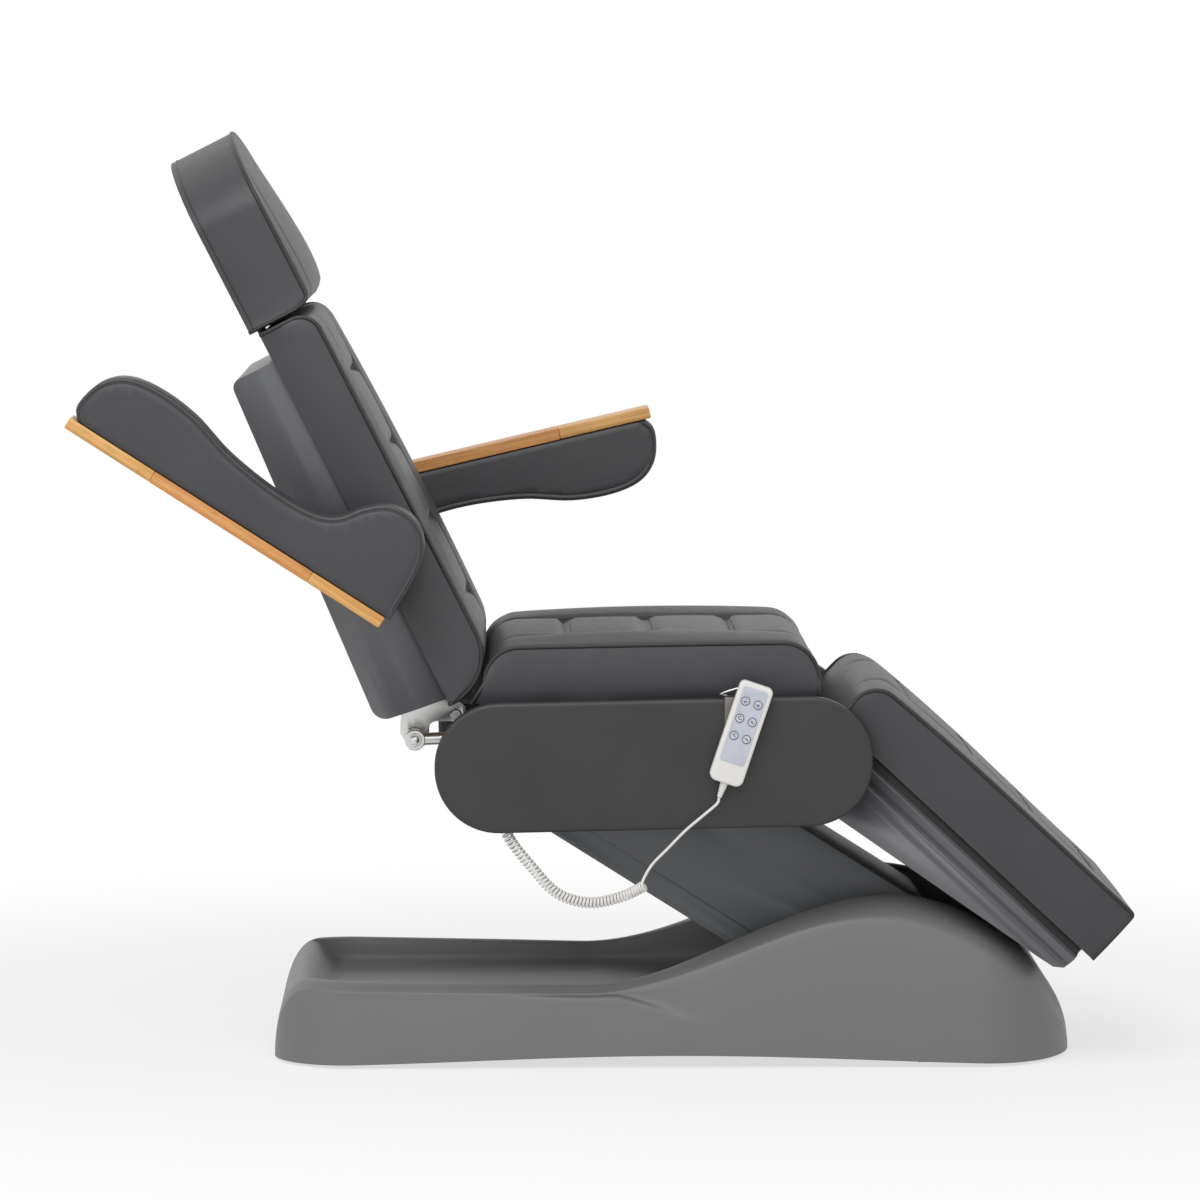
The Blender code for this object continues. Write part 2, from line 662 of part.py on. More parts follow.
def lift_arms():
    end = LIFT_ARM_LENGTH + ARM_END
    depth = FRONT_ARM_FRONT_DEPTH
    outline = rounded(
        (
            (-end, -FRONT_ARM_REAR_DEPTH, 0.020),
            (2 * ARM_END, -FRONT_ARM_REAR_DEPTH, 0.050),
            (2 * ARM_END, depth, 0.060),
            (-0.4 * LIFT_ARM_LENGTH, depth, 0.030),
            (-end, FRONT_ARM_TIP_DEPTH, 0.040),
        )
    )
    wide = FRONT_ARM_HALF_WIDTH
    front = piece("lift_arm_front", side_solid(outline, -wide, wide), front_arm, ARM_COVER)
    ceiling = FRONT_ARM_WALL
    hollow = (
        (-2 * end, -2 * FRONT_ARM_REAR_DEPTH),
        (0.3 * end, -2 * FRONT_ARM_REAR_DEPTH),
        (0.3 * end, depth - ceiling),
        (-0.4 * LIFT_ARM_LENGTH, depth - ceiling),
        (-end, FRONT_ARM_TIP_DEPTH - ceiling),
        (-2 * end, FRONT_ARM_TIP_DEPTH - ceiling),
    )
    room = wide - FRONT_ARM_WALL
    cut(front, side_solid(hollow, -room, room), front_arm)
    depth = REAR_ARM_HALF_DEPTH
    wall_top = REAR_ARM_WALL_TOP
    outline = rounded(
        (
            (-end, -depth, 0.012),
            (ARM_END, -depth, 0.012),
            (ARM_END, wall_top, 0.020),
            (-end, wall_top, 0.020),
        )
    )
    wide = REAR_ARM_HALF_WIDTH
    rear = piece("lift_arm_rear", side_solid(outline, -wide, wide), rear_arm, ARM_COVER)
    room = wide - REAR_ARM_WALL
    low = (-2 * end, -room, REAR_ARM_WALL - depth)
    cut(rear, box(low, (end, room, 2 * wall_top)), rear_arm)
    eye_room = 4 * EYE_HALF_WIDTH
    low = (-3 * EYE_RADIUS, -eye_room, -2 * depth)
    cut(rear, box(low, (end, eye_room, depth)), rear_arm)
    for arm, parent in ((front, front_arm), (rear, rear_arm)):
        for x in (0.0, -LIFT_ARM_LENGTH):
            hole = side_cylinder(SHAFT_RADIUS + CLEARANCE, x, 0.0, -2 * wide, 2 * wide)
            cut(arm, hole, parent)


def lift_actuator():
    start = LIFT_MOTOR_START
    end = start + LIFT_MOTOR_LENGTH
    motor = piece("lift_motor", eye(SHAFT_RADIUS), lift_motor, BLACK_PLASTIC)
    shank = (start + 0.01, 0.8 * EYE_HALF_WIDTH, 0.6 * EYE_RADIUS)
    join(motor, box((0.011, -shank[1], -shank[2]), shank), lift_motor)
    housing = (end, 2 * EYE_HALF_WIDTH, MOTOR_HALF_HEIGHT)
    join(motor, box((start, -housing[1], -housing[2]), housing, edge=0.006), lift_motor)
    rod_end = math.hypot(lift_rise + REAR_PIVOT_DOWN, lift_run - REAR_PIVOT_BACK) - LIFT_ROD_LENGTH
    actuator_tube(motor, lift_motor, end, LIFT_TUBE_LENGTH, rod_end)
    cut(motor, side_cylinder(SHAFT_RADIUS + CLEARANCE, 0.0, 0.0, -0.1, 0.1), lift_motor)
    rod = piece("lift_rod", eye(SHAFT_RADIUS), lift_rod, ZINC)
    actuator_rod(rod, lift_rod, LIFT_ROD_LENGTH)
    cut(rod, side_cylinder(SHAFT_RADIUS + CLEARANCE, 0.0, 0.0, -0.1, 0.1), lift_rod)


def eye(pin_radius):
    radius = max(EYE_RADIUS, pin_radius + 0.006)
    return side_cylinder(radius, 0.0, 0.0, -EYE_HALF_WIDTH, EYE_HALF_WIDTH)


def actuator_tube(motor, parent, start, length, rod_end):
    """Tube on a motor's housing, bored to a little past the end of the rod."""
    begin = start - TUBE_SOCKET
    end = begin + length
    join(motor, cylinder(TUBE_RADIUS, length, ((begin + end) / 2, 0.0, 0.0), axis="X"), parent)
    floor = rod_end - ROD_END_GAP
    mouth = end + ROD_END_GAP
    bore = cylinder(TUBE_BORE_RADIUS, mouth - floor, ((floor + mouth) / 2, 0.0, 0.0), axis="X")
    cut(motor, bore, parent)


def actuator_rod(rod, parent, length):
    start = 0.6 * EYE_RADIUS
    middle = ((start + length) / 2, 0.0, 0.0)
    join(rod, cylinder(ROD_RADIUS, length - start, middle, axis="X"), parent)


def seat_cheeks():
    rear_x = -REAR_PIVOT_BACK
    rear_z = -REAR_PIVOT_DOWN
    top = BOARD_UNDERSIDE - CLEARANCE
    outline = rounded(
        (
            (BACK_HINGE_X - 0.020, top, 0.010),
            (SEAT_BOARD_FRONT_X + 0.004, top, 0.004),
            (LEG_HINGE_X + 0.016, LEG_HINGE_Z + 0.006, 0.008),
            (LEG_HINGE_X + 0.013, LEG_HINGE_Z - 0.015, 0.012),
            (LEG_HINGE_X - 0.040, LEG_HINGE_Z - 0.020, 0.010),
            (0.070, 0.022, 0.030),
            (0.026, -0.028, 0.020),
            (rear_x + 0.012, rear_z - 0.028, 0.022),
            (rear_x - 0.028, rear_z - 0.022, 0.022),
            (rear_x - 0.034, 0.024, 0.030),
            (BACK_HINGE_X - 0.014, BACK_HINGE_Z - 0.020, 0.012),
        )
    )
    motors = {"right": (BACK_MOTOR_X, BACK_MOTOR_Z), "left": (LEG_MOTOR_X, LEG_MOTOR_Z)}
    for side, low, high in sides(CHEEK_INNER_Y, CHEEK_INNER_Y + CHEEK_THICKNESS):
        cheek = piece("seat_cheek_" + side, side_solid(outline, low, high), seat, PAINTED_STEEL)
        holes = [(0.0, 0.0, SHAFT_RADIUS), (rear_x, rear_z, SHAFT_RADIUS)]
        holes.append((BACK_HINGE_X, BACK_HINGE_Z, HINGE_SHAFT_RADIUS))
        holes.append((LEG_HINGE_X, LEG_HINGE_Z, HINGE_SHAFT_RADIUS))
        holes.append((*motors[side], STUD_RADIUS))
        for x, z, radius in holes:
            cut(cheek, side_cylinder(radius + CLEARANCE, x, z, low - 0.01, high + 0.01), seat)
    shaft("lift_shaft_upper", seat, 0.0, 0.0)
    shaft("rear_arm_shaft_upper", seat, rear_x, rear_z)
    hinges = (("back_hinge_shaft", BACK_HINGE_X, BACK_HINGE_Z), ("leg_hinge_shaft", LEG_HINGE_X, LEG_HINGE_Z))
    for name, x, z in hinges:
        reach = HINGE_SHAFT_HALF_LENGTH
        piece(name, side_cylinder(HINGE_SHAFT_RADIUS, x, z, -reach, reach), seat, ZINC, smooth=True)


def seat_body():
    wide = PANEL_INNER_Y - CLEARANCE
    top = BOARD_UNDERSIDE + SEAT_BOARD_THICKNESS
    low = (SEAT_BOARD_REAR_X, -wide, BOARD_UNDERSIDE)
    piece("seat_board", box(low, (SEAT_BOARD_FRONT_X, wide, top)), seat, BOARD)
    middle = SEAT_CUSHION_LENGTH / 2
    seams = (middle - SEAM_SPACING, middle, middle + SEAM_SPACING)
    size = (SEAT_CUSHION_LENGTH, CUSHION_WIDTH, SEAT_CUSHION_THICKNESS)
    mesh = cushion(*size, 0.050, 0.054, 0.018, seams, rise=SEAT_CUSHION_RISE)
    mesh.transform(Matrix.Translation((SEAT_CUSHION_REAR_X, 0.0, top + CLEARANCE)))
    piece("seat_cushion", mesh, seat, VINYL, smooth=True)
    end = PANEL_LENGTH / 2
    rise = PANEL_HEIGHT / 2
    corners = [(x, z, 0.98 * rise) for x, z in ((-end, -rise), (end, -rise), (end, rise), (-end, rise))]
    for side, low, high in sides(PANEL_INNER_Y, PANEL_INNER_Y + PANEL_THICKNESS):
        mesh = side_solid(rounded(corners, 8), low, high, edge=PANEL_EDGE)
        panel = piece("side_panel_" + side, mesh, seat, VINYL, smooth=True)
        panel.location = (PANEL_X, 0.0, PANEL_Z)
        panel.rotation_euler = (0.0, PANEL_TILT, 0.0)
    control_top = BOARD_UNDERSIDE - CLEARANCE
    bottom = control_top - CONTROL_BOX_HEIGHT
    front = CONTROL_BOX_X + CONTROL_BOX_LENGTH
    wide = CONTROL_BOX_HALF_WIDTH
    mesh = box((CONTROL_BOX_X, -wide, bottom), (front, wide, control_top), edge=0.004)
    control = piece("control_box", mesh, seat, BLACK_PLASTIC)
    middle = (bottom + control_top) / 2
    low = (front - INLET_DEPTH, -INLET_WIDTH / 2, middle - INLET_HEIGHT / 2)
    high = (front + INLET_DEPTH, INLET_WIDTH / 2, middle + INLET_HEIGHT / 2)
    cut(control, box(low, high), seat)


def side_actuators():
    for name, motor_frame, rod_frame, side, lengths in (
        ("back", back_motor, back_rod, -1, (BACK_TUBE_LENGTH, BACK_ROD_LENGTH, back_reach - BACK_STROKE)),
        ("leg", leg_motor, leg_rod, 1, (LEG_TUBE_LENGTH, LEG_ROD_LENGTH, leg_reach)),
    ):
        tube_length, rod_length, reach = lengths
        wide = MOTOR_HALF_WIDTH
        high = (MOTOR_LENGTH - MOTOR_REAR, wide, MOTOR_HALF_HEIGHT)
        mesh = box((-MOTOR_REAR, -wide, -MOTOR_HALF_HEIGHT), high, edge=0.006)
        motor = piece(name + "_motor", mesh, motor_frame, BLACK_PLASTIC)
        inner = side * (CHEEK_INNER_Y + CLEARANCE - MOTOR_Y)
        ends = sorted((inner, -side * wide / 2))
        join(motor, side_cylinder(STUD_RADIUS, 0.0, 0.0, *ends), motor_frame)
        actuator_tube(motor, motor_frame, high[0], tube_length, reach - rod_length)
        rod = piece(name + "_rod", eye(LEVER_BOLT_RADIUS), rod_frame, ZINC)
        actuator_rod(rod, rod_frame, rod_length)
        plate_inner = CHEEK_INNER_Y + CHEEK_THICKNESS
        if name == "back":
            through = 2 * EYE_HALF_WIDTH
            cut(rod, side_cylinder(LEVER_BOLT_RADIUS + CLEARANCE, 0.0, 0.0, -through, through), rod_frame)
        else:
            ends = (plate_inner - 2 * CLEARANCE - MOTOR_Y, 0.0)
            join(rod, side_cylinder(LEG_PIN_RADIUS, 0.0, 0.0, *ends), rod_frame)


def hinge_plates():
    inner = CHEEK_INNER_Y + CHEEK_THICKNESS + CLEARANCE
    board_rear = BACK_CUSHION_REAR - CLEARANCE - BACK_BOARD_THICKNESS
    front = board_rear - CLEARANCE
    plain = (
        (0.014, -0.018, 0.012),
        (0.018, 0.010, 0.012),
        (front, BACK_BOARD_BOTTOM - 0.006, 0.004),
        (front, PLATE_TOP, 0.004),
        (front - 0.034, PLATE_TOP, 0.010),
        (front - 0.034, 0.040, 0.020),
        (-0.020, -0.010, 0.012),
    )
    lever = plain[:5] + (
        (front - 0.044, 0.060, 0.030),
        (-LEVER_PIN_BACK - 0.016, 0.014, 0.012),
        (-LEVER_PIN_BACK - 0.014, -LEVER_PIN_DOWN - 0.016, 0.012),
        (-LEVER_PIN_BACK + 0.016, -LEVER_PIN_DOWN - 0.016, 0.012),
        (-0.040, 0.010, 0.010),
    )
    for side, low, high in sides(inner, inner + HINGE_PLATE_THICKNESS):
        outline = rounded(lever if side == "right" else plain)
        plate = piece("back_plate_" + side, side_solid(outline, low, high), back, ZINC)
        hole = side_cylinder(HINGE_SHAFT_RADIUS + CLEARANCE, 0.0, 0.0, low - 0.01, high + 0.01)
        cut(plate, hole, back)
        if side == "right":
            radius = LEVER_BOLT_RADIUS + CLEARANCE
            hole = side_cylinder(radius, -LEVER_PIN_BACK, -LEVER_PIN_DOWN, low - 0.01, high + 0.01)
            cut(plate, hole, back)
    head = LEVER_BOLT_HEAD_RADIUS
    nut_start = -MOTOR_Y - EYE_HALF_WIDTH - CLEARANCE
    head_start = -inner + CLEARANCE
    x, z = -LEVER_PIN_BACK, -LEVER_PIN_DOWN
    ends = (nut_start - LEVER_BOLT_HEAD / 2, head_start + LEVER_BOLT_HEAD / 2)
    bolt = piece("lever_bolt", side_cylinder(LEVER_BOLT_RADIUS, x, z, *ends), back, ZINC)
    join(bolt, side_cylinder(head, x, z, head_start, head_start + LEVER_BOLT_HEAD, 6), back)
    join(bolt, side_cylinder(head, x, z, nut_start - LEVER_BOLT_HEAD, nut_start, 6), back)
    board_low = LEG_CUSHION_UNDERSIDE - CLEARANCE - LEG_BOARD_THICKNESS
    top = board_low - CLEARANCE
    plain = (
        (-0.014, -0.014, 0.012),
        (LEG_PLATE_END, -0.020, 0.006),
        (LEG_PLATE_END, top, 0.004),
        (0.020, top, 0.004),
        (-0.012, 0.014, 0.012),
    )
    lever = (
        (-0.016, 0.004, 0.012),
        (LEG_PIN_ALONG - 0.016, -LEG_PIN_DOWN - 0.012, 0.012),
        (LEG_PIN_ALONG + 0.014, -LEG_PIN_DOWN - 0.014, 0.012),
        (LEG_PIN_ALONG + 0.036, -0.020, 0.020),
        *plain[1:],
    )
    for side, low, high in sides(inner, inner + HINGE_PLATE_THICKNESS):
        outline = rounded(lever if side == "left" else plain)
        plate = piece("leg_plate_" + side, side_solid(outline, low, high), leg, ZINC)
        hole = side_cylinder(HINGE_SHAFT_RADIUS + CLEARANCE, 0.0, 0.0, low - 0.01, high + 0.01)
        cut(plate, hole, leg)
        if side == "left":
            radius = LEG_PIN_RADIUS + CLEARANCE
            hole = side_cylinder(radius, LEG_PIN_ALONG, -LEG_PIN_DOWN, low - 0.01, high + 0.01)
            cut(plate, hole, leg)


def back_body():
    rear = BACK_CUSHION_REAR - CLEARANCE
    wide = BACK_COVER_HALF_WIDTH - BACK_COVER_WALL - CLEARANCE
    top = BACK_COVER_TOP - BACK_COVER_WALL - CLEARANCE
    low = (rear - BACK_BOARD_THICKNESS, -wide, BACK_BOARD_BOTTOM)
    board = piece("back_board", box(low, (rear, wide, top)), back, BOARD)
    slot_half = POST_HALF_WIDTH + CLEARANCE
    post_low = POST_FRONT - POST_THICKNESS
    low = (2 * low[0], -slot_half, POST_SLOT_BOTTOM)
    cut(board, box(low, (-low[0], slot_half, top + 0.1)), back)
    studs = sides(ARM_STUD_INNER_Y, ARM_STUD_OUTER_Y)
    for side, low_y, high_y in studs:
        mesh = side_cylinder(ARM_STUD_RADIUS, ARM_PIVOT_DEPTH, ARM_PIVOT_HEIGHT, low_y, high_y)
        piece("arm_stud_" + side, mesh, back, ZINC, smooth=True)
    hole_radius = ARM_STUD_RADIUS + CLEARANCE
    holes = [
        (hole_radius, ARM_PIVOT_DEPTH, ARM_PIVOT_HEIGHT, low_y - CLEARANCE, high_y + CLEARANCE)
        for side, low_y, high_y in studs
    ]
    for hole in holes:
        cut(board, side_cylinder(*hole), back)
    middle = BACK_CUSHION_LENGTH / 2
    seams = [middle + SEAM_SPACING * step for step in (-1.5, -0.5, 0.5, 1.5)]
    mesh = cushion(BACK_CUSHION_LENGTH, CUSHION_WIDTH, BACK_CUSHION_THICKNESS, 0.075, 0.030, 0.0, seams)
    mesh = upright_cushion(mesh)
    mesh.transform(Matrix.Translation((BACK_CUSHION_REAR, 0.0, BACK_CUSHION_BOTTOM)))
    piece("back_cushion", mesh, back, VINYL, smooth=True)
    back_cover(rear, holes, (post_low, slot_half))


def back_cover(front, holes, post):
    deep = BACK_COVER_BOTTOM_DEPTH
    shallow = BACK_COVER_TOP_DEPTH
    outer = rounded(
        (
            (front + COVER_EDGE, BACK_COVER_BOTTOM, 0.0),
            (front + COVER_EDGE, BACK_COVER_TOP, 0.0),
            (-shallow, BACK_COVER_TOP, 0.014),
            (-deep, BACK_COVER_BOTTOM + 0.013, 0.022),
        )
    )
    wide = BACK_COVER_HALF_WIDTH
    cover = piece("back_cover", side_solid(outer, -wide, wide, edge=COVER_EDGE), back, COVER_PLASTIC)
    wall = BACK_COVER_WALL
    hollow = (
        (front + 2 * COVER_EDGE, -BACK_COVER_BOTTOM),
        (front + 2 * COVER_EDGE, BACK_COVER_TOP - wall),
        (0.012 + wall - shallow, BACK_COVER_TOP - wall),
        (wall - shallow, BACK_COVER_TOP - 0.012 - wall),
        (wall - deep, BACK_COVER_BOTTOM + 0.034),
        (wall - deep, -BACK_COVER_BOTTOM),
    )
    room = wide - wall
    cut(cover, side_solid(hollow, -room, room), back)
    low = (front, -2 * wide, -BACK_COVER_BOTTOM)
    cut(cover, box(low, (4 * COVER_EDGE, 2 * wide, 2 * BACK_COVER_TOP)), back)
    for hole in holes:
        cut(cover, side_cylinder(*hole), back)
    post_low, slot_half = post
    low = (post_low - CLEARANCE, -slot_half, BACK_COVER_TOP - 3 * wall)
    cut(cover, box(low, (5 * COVER_EDGE, slot_half, BACK_COVER_TOP + 3 * wall)), back)


def headrest():
    post_low = POST_FRONT - POST_THICKNESS
    wide = POST_HALF_WIDTH
    bottom = POST_BOTTOM - HEAD_BOTTOM
    top = POST_TOP - HEAD_BOTTOM
    low = (post_low, -wide, bottom)
    piece("head_post", box(low, (POST_FRONT, wide, top)), head, ZINC)
    front = HEAD_REAR
    half = HEAD_WIDTH / 2 - HEAD_BOARD_INSET
    shoulder = HEAD_LENGTH - HEAD_BOARD_INSET - HEAD_ARCH
    turns = [math.pi * step / HEAD_ARCH_STEPS for step in range(HEAD_ARCH_STEPS + 1)]
    outline = [(half * math.cos(turn), shoulder + HEAD_ARCH * math.sin(turn)) for turn in turns]
    outline = [(-half, HEAD_BOARD_INSET), (half, HEAD_BOARD_INSET), *outline]
    mesh = side_solid(outline, -front, HEAD_BOARD_THICKNESS - front)
    mesh.transform(Matrix.Rotation(math.pi / 2, 4, "Z"))
    board = piece("head_board", mesh, head, VINYL)
    slot = wide + CLEARANCE
    low = (post_low - CLEARANCE, -slot, -HEAD_LENGTH)
    cut(board, box(low, (2 * HEAD_BOARD_THICKNESS, slot, top + CLEARANCE)), head)
    mesh = cushion(HEAD_LENGTH, HEAD_WIDTH, HEAD_THICKNESS, 0.024, 0.008, band=0.130, arch=HEAD_ARCH)
    mesh = upright_cushion(mesh)
    mesh.transform(Matrix.Translation((HEAD_REAR + CLEARANCE, 0.0, 0.0)))
    piece("head_cushion", mesh, head, VINYL, smooth=True)


def armrests():
    top = ARM_WOOD_UNDERSIDE - CLEARANCE
    shares = (
        (0.9736, -top / ARM_PAD_DROP),
        (1.0000, -0.4431),
        (0.9780, 0.0659),
        (0.9143, 0.3892),
        (0.8088, 0.5030),
        (0.6725, 0.4491),
        (0.5176, 0.2216),
        (0.3451, 0.1138),
        (0.2022, 0.1437),
        (0.1264, 0.3293),
        (0.0758, 0.6826),
        (0.0110, 0.9641),
        (-0.0681, 1.0000),
        (-0.1352, 0.7964),
        (-0.1747, 0.3353),
        (-0.1846, -top / ARM_PAD_DROP),
    )
    run = [(along * ARM_PAD_REACH, -down * ARM_PAD_DROP) for along, down in shares]
    outline = [tuple(point) for point in smooth_run(run, 2)]
    outer = ARM_INNER_Y + ARM_PAD_WIDTH
    frames = {"right": right_arm, "left": left_arm}
    hole = ARM_STUD_RADIUS + CLEARANCE
    for side, low, high in sides(ARM_INNER_Y, outer):
        mesh = side_solid(outline, low, high, edge=ARM_PAD_EDGE)
        pad = piece("armrest_pad_" + side, mesh, frames[side], VINYL, smooth=True)
        reach = ARM_STUD_OUTER_Y + CLEARANCE
        cut(pad, side_cylinder(hole, 0.0, 0.0, *sorted((math.copysign(reach, low), 0.0))), frames[side])
    over = ARM_WOOD_OVERHANG
    wood_top = ARM_WOOD_UNDERSIDE + ARM_WOOD_THICKNESS
    for side, low, high in sides(ARM_INNER_Y - over, outer + over):
        first = (ARM_WOOD_REAR_X, low, ARM_WOOD_UNDERSIDE)
        mesh = box(first, (ARM_WOOD_FRONT_X, high, wood_top), edge=0.002)
        piece("armrest_wood_" + side, mesh, frames[side], OAK)


def leg_rest():
    cushion_low = LEG_CUSHION_UNDERSIDE
    middle = LEG_CUSHION_LENGTH / 2
    seams = (middle - 1.5 * SEAM_SPACING, middle - 0.5 * SEAM_SPACING, middle + 0.5 * SEAM_SPACING)
    size = (LEG_CUSHION_LENGTH, CUSHION_WIDTH, LEG_CUSHION_THICKNESS)
    mesh = cushion(*size, 0.042, 0.016, seams=seams, taper=LEG_CUSHION_TAPER)
    mesh.transform(Matrix.Translation((LEG_CUSHION_START, 0.0, cushion_low)))
    piece("leg_cushion", mesh, leg, VINYL, smooth=True)
    wide = LEG_COVER_HALF_WIDTH
    wall = LEG_COVER_WALL
    top = cushion_low - CLEARANCE
    board_wide = wide - wall - CLEARANCE
    start = LEG_COVER_START
    end = LEG_COVER_END
    low = (start, -board_wide, top - LEG_BOARD_THICKNESS)
    piece("leg_board", box(low, (end - wall - CLEARANCE, board_wide, top)), leg, BOARD)
    deep = LEG_COVER_START_DEPTH
    shallow = LEG_COVER_END_DEPTH
    outer = (
        (start, top + COVER_EDGE),
        (start, -deep),
        (start + 0.010, -deep),
        (end - 0.014, -shallow),
        (end, 0.010 - shallow),
        (end, top + COVER_EDGE),
    )
    cover = piece("leg_cover", side_solid(outer, -wide, wide, edge=COVER_EDGE), leg, COVER_PLASTIC)
    hollow = (
        (start - 0.1, top + 2 * COVER_EDGE),
        (start - 0.1, wall - deep),
        (start + 0.010, wall - deep),
        (end - 0.014, wall - shallow),
        (end - wall, 0.010 - shallow),
        (end - wall, top + 2 * COVER_EDGE),
    )
    room = wide - wall
    cut(cover, side_solid(hollow, -room, room), leg)
    low = (start - 0.1, -2 * wide, top)
    cut(cover, box(low, (end + 0.1, 2 * wide, top + 0.1)), leg)


def handset_body():
    half = HANDSET_WIDTH / 2
    rise = HANDSET_LENGTH / 2
    corners = [(x, z, HANDSET_CORNER) for x, z in ((-half, -rise), (half, -rise), (half, rise), (-half, rise))]
    outline = rounded(corners, 4)
    deep = HANDSET_HALF_DEPTH
    piece("handset_case_rear", side_solid(outline, CLEARANCE / 2, deep, 0.002), handset, HANDSET_PLASTIC)
    mesh = side_solid(outline, -deep, -CLEARANCE / 2, 0.002)
    front = piece("handset_case_front", mesh, handset, HANDSET_PLASTIC)
    half = OVERLAY_WIDTH / 2
    low_z = OVERLAY_Z - OVERLAY_LENGTH / 2
    high_z = OVERLAY_Z + OVERLAY_LENGTH / 2
    corners = [(x, z, 0.004) for x, z in ((-half, low_z), (half, low_z), (half, high_z), (-half, high_z))]
    face = -deep - CLEARANCE
    film = face - OVERLAY_THICKNESS
    overlay = piece("keypad_overlay", side_solid(rounded(corners, 3), film, face), handset, OVERLAY_FILM)
    key_top = film - KEY_PROUD
    key_end = key_top + KEY_HEIGHT
    for row, motion in enumerate(("lift", "back", "leg")):
        for column, way in ((-1, "up"), (1, "down")):
            x = column * KEY_COLUMN_X
            z = KEY_TOP_Z - row * KEY_ROW_STEP
            key_frame = frame(f"key_{motion}_{way}_axis", handset, x, 0.0, z)
            key = side_cylinder(KEY_RADIUS, 0.0, 0.0, key_top, key_end, 12)
            piece(f"key_{motion}_{way}", key, key_frame, KEY_FILM, smooth=True)
            well_end = key_end + KEY_TRAVEL + CLEARANCE
            for target in (front, overlay):
                well = side_cylinder(KEY_RADIUS + CLEARANCE, x, z, 2 * film, well_end, 12)
                cut(target, well, handset)
    middle = (0.0, 0.0, -rise - CLEARANCE - BOOT_LENGTH / 2)
    mesh = cylinder(BOOT_END_RADIUS, BOOT_LENGTH, middle, "Z", BOOT_TOP_RADIUS, 12)
    piece("handset_boot", mesh, handset, HANDSET_PLASTIC, smooth=True)
    handset_hook()


def handset_hook():
    """Bent strip behind the handset, over the top edge of the right side panel."""
    outer = -(PANEL_INNER_Y + PANEL_THICKNESS)
    case = HANDSET_Y + HANDSET_HALF_DEPTH
    panel_top = PANEL_Z + PANEL_HEIGHT / 2 + (HOOK_X - PANEL_X) * math.tan(-PANEL_TILT)
    under = panel_top + 2 * CLEARANCE
    inner = -PANEL_INNER_Y + CLEARANCE
    strip = HOOK_STRIP
    outside = case + CLEARANCE
    outline = (
        (outside, under - HOOK_DROP),
        (outside + strip, under - HOOK_DROP),
        (outside + strip, under),
        (inner, under),
        (inner, under - HOOK_TONGUE),
        (inner + strip, under - HOOK_TONGUE),
        (inner + strip, under + strip),
        (outside, under + strip),
    )
    assert outside + strip < outer
    mesh = side_solid(outline, -HOOK_WIDTH / 2, HOOK_WIDTH / 2)
    mesh.transform(Matrix.Translation((HOOK_X, 0.0, 0.0)) @ Matrix.Rotation(math.pi / 2, 4, "Z"))
    piece("handset_hook", mesh, seat, ZINC)


def cord_points():
    """Centre line of the cord: straight lead, curls about the route, and straight tail."""
    boot_end = HANDSET_LENGTH / 2 + BOOT_LENGTH + 2 * CLEARANCE
    start_x = HANDSET_X - boot_end * math.sin(HANDSET_TILT)
    start_z = HANDSET_Z - boot_end * math.cos(HANDSET_TILT)
    route = smooth_run(((start_x, HANDSET_Y, start_z), *CORD_ROUTE), 12)
    lengths = [0.0]
    for here, there in zip(route, route[1:]):
        lengths.append(lengths[-1] + (there - here).length)
    first = lengths[12 * CURL_FIRST]
    last = lengths[12 * CURL_LAST]

    def at(distance):
        index = next(i for i, length in enumerate(lengths[1:]) if length >= distance - 1e-9)
        share = (distance - lengths[index]) / (lengths[index + 1] - lengths[index])
        return route[index].lerp(route[index + 1], share), (route[index + 1] - route[index]).normalized()

    lead = [at(first * step / round(first / LEAD_STEP))[0] for step in range(round(first / LEAD_STEP))]
    curls = []
    count = CURL_COUNT * CURL_POINTS
    side = Vector((0.0, 1.0, 0.0))
    for step in range(count + 1):
        share = step / count
        middle, ahead = at(first + (last - first) * share)
        side = (side - ahead * side.dot(ahead)).normalized()
        over = ahead.cross(side)
        angle = 2 * math.pi * CURL_COUNT * share
        swing = CURL_RADIUS * ramp(min(share, 1 - share) * CURL_COUNT, 0.0, 1.0)
        curls.append(middle + swing * (side * math.cos(angle) + over * math.sin(angle)))
    rest = lengths[-1] - last
    steps = round(rest / LEAD_STEP)
    tail = [at(last + rest * step / steps)[0] for step in range(1, steps + 1)]
    return lead + curls + tail


def least_gap(points, radius, neighbours):
    least = math.inf
    for index, here in enumerate(points):
        for there in points[index + neighbours :]:
            least = min(least, (there - here).length)
    return least - 2 * radius


def handset_cord():
    points = cord_points()
    piece("handset_cord", tube(points, CORD_RADIUS, 1), seat, CORD_PLASTIC, smooth=True)
    gap = least_gap(points, CORD_RADIUS, CURL_POINTS // 2 + 1)
    print(f"least gap of the handset cord to itself: {gap * 1000:.2f} mm")
    x, y, z = CORD_ROUTE[-1]
    low = z + CLEARANCE
    high = BOARD_UNDERSIDE - CLEARANCE
    mesh = cylinder(GLAND_RADIUS, high - low, (x, y, (low + high) / 2), "Z", sides=12)
    piece("cord_gland", mesh, seat, BLACK_PLASTIC)


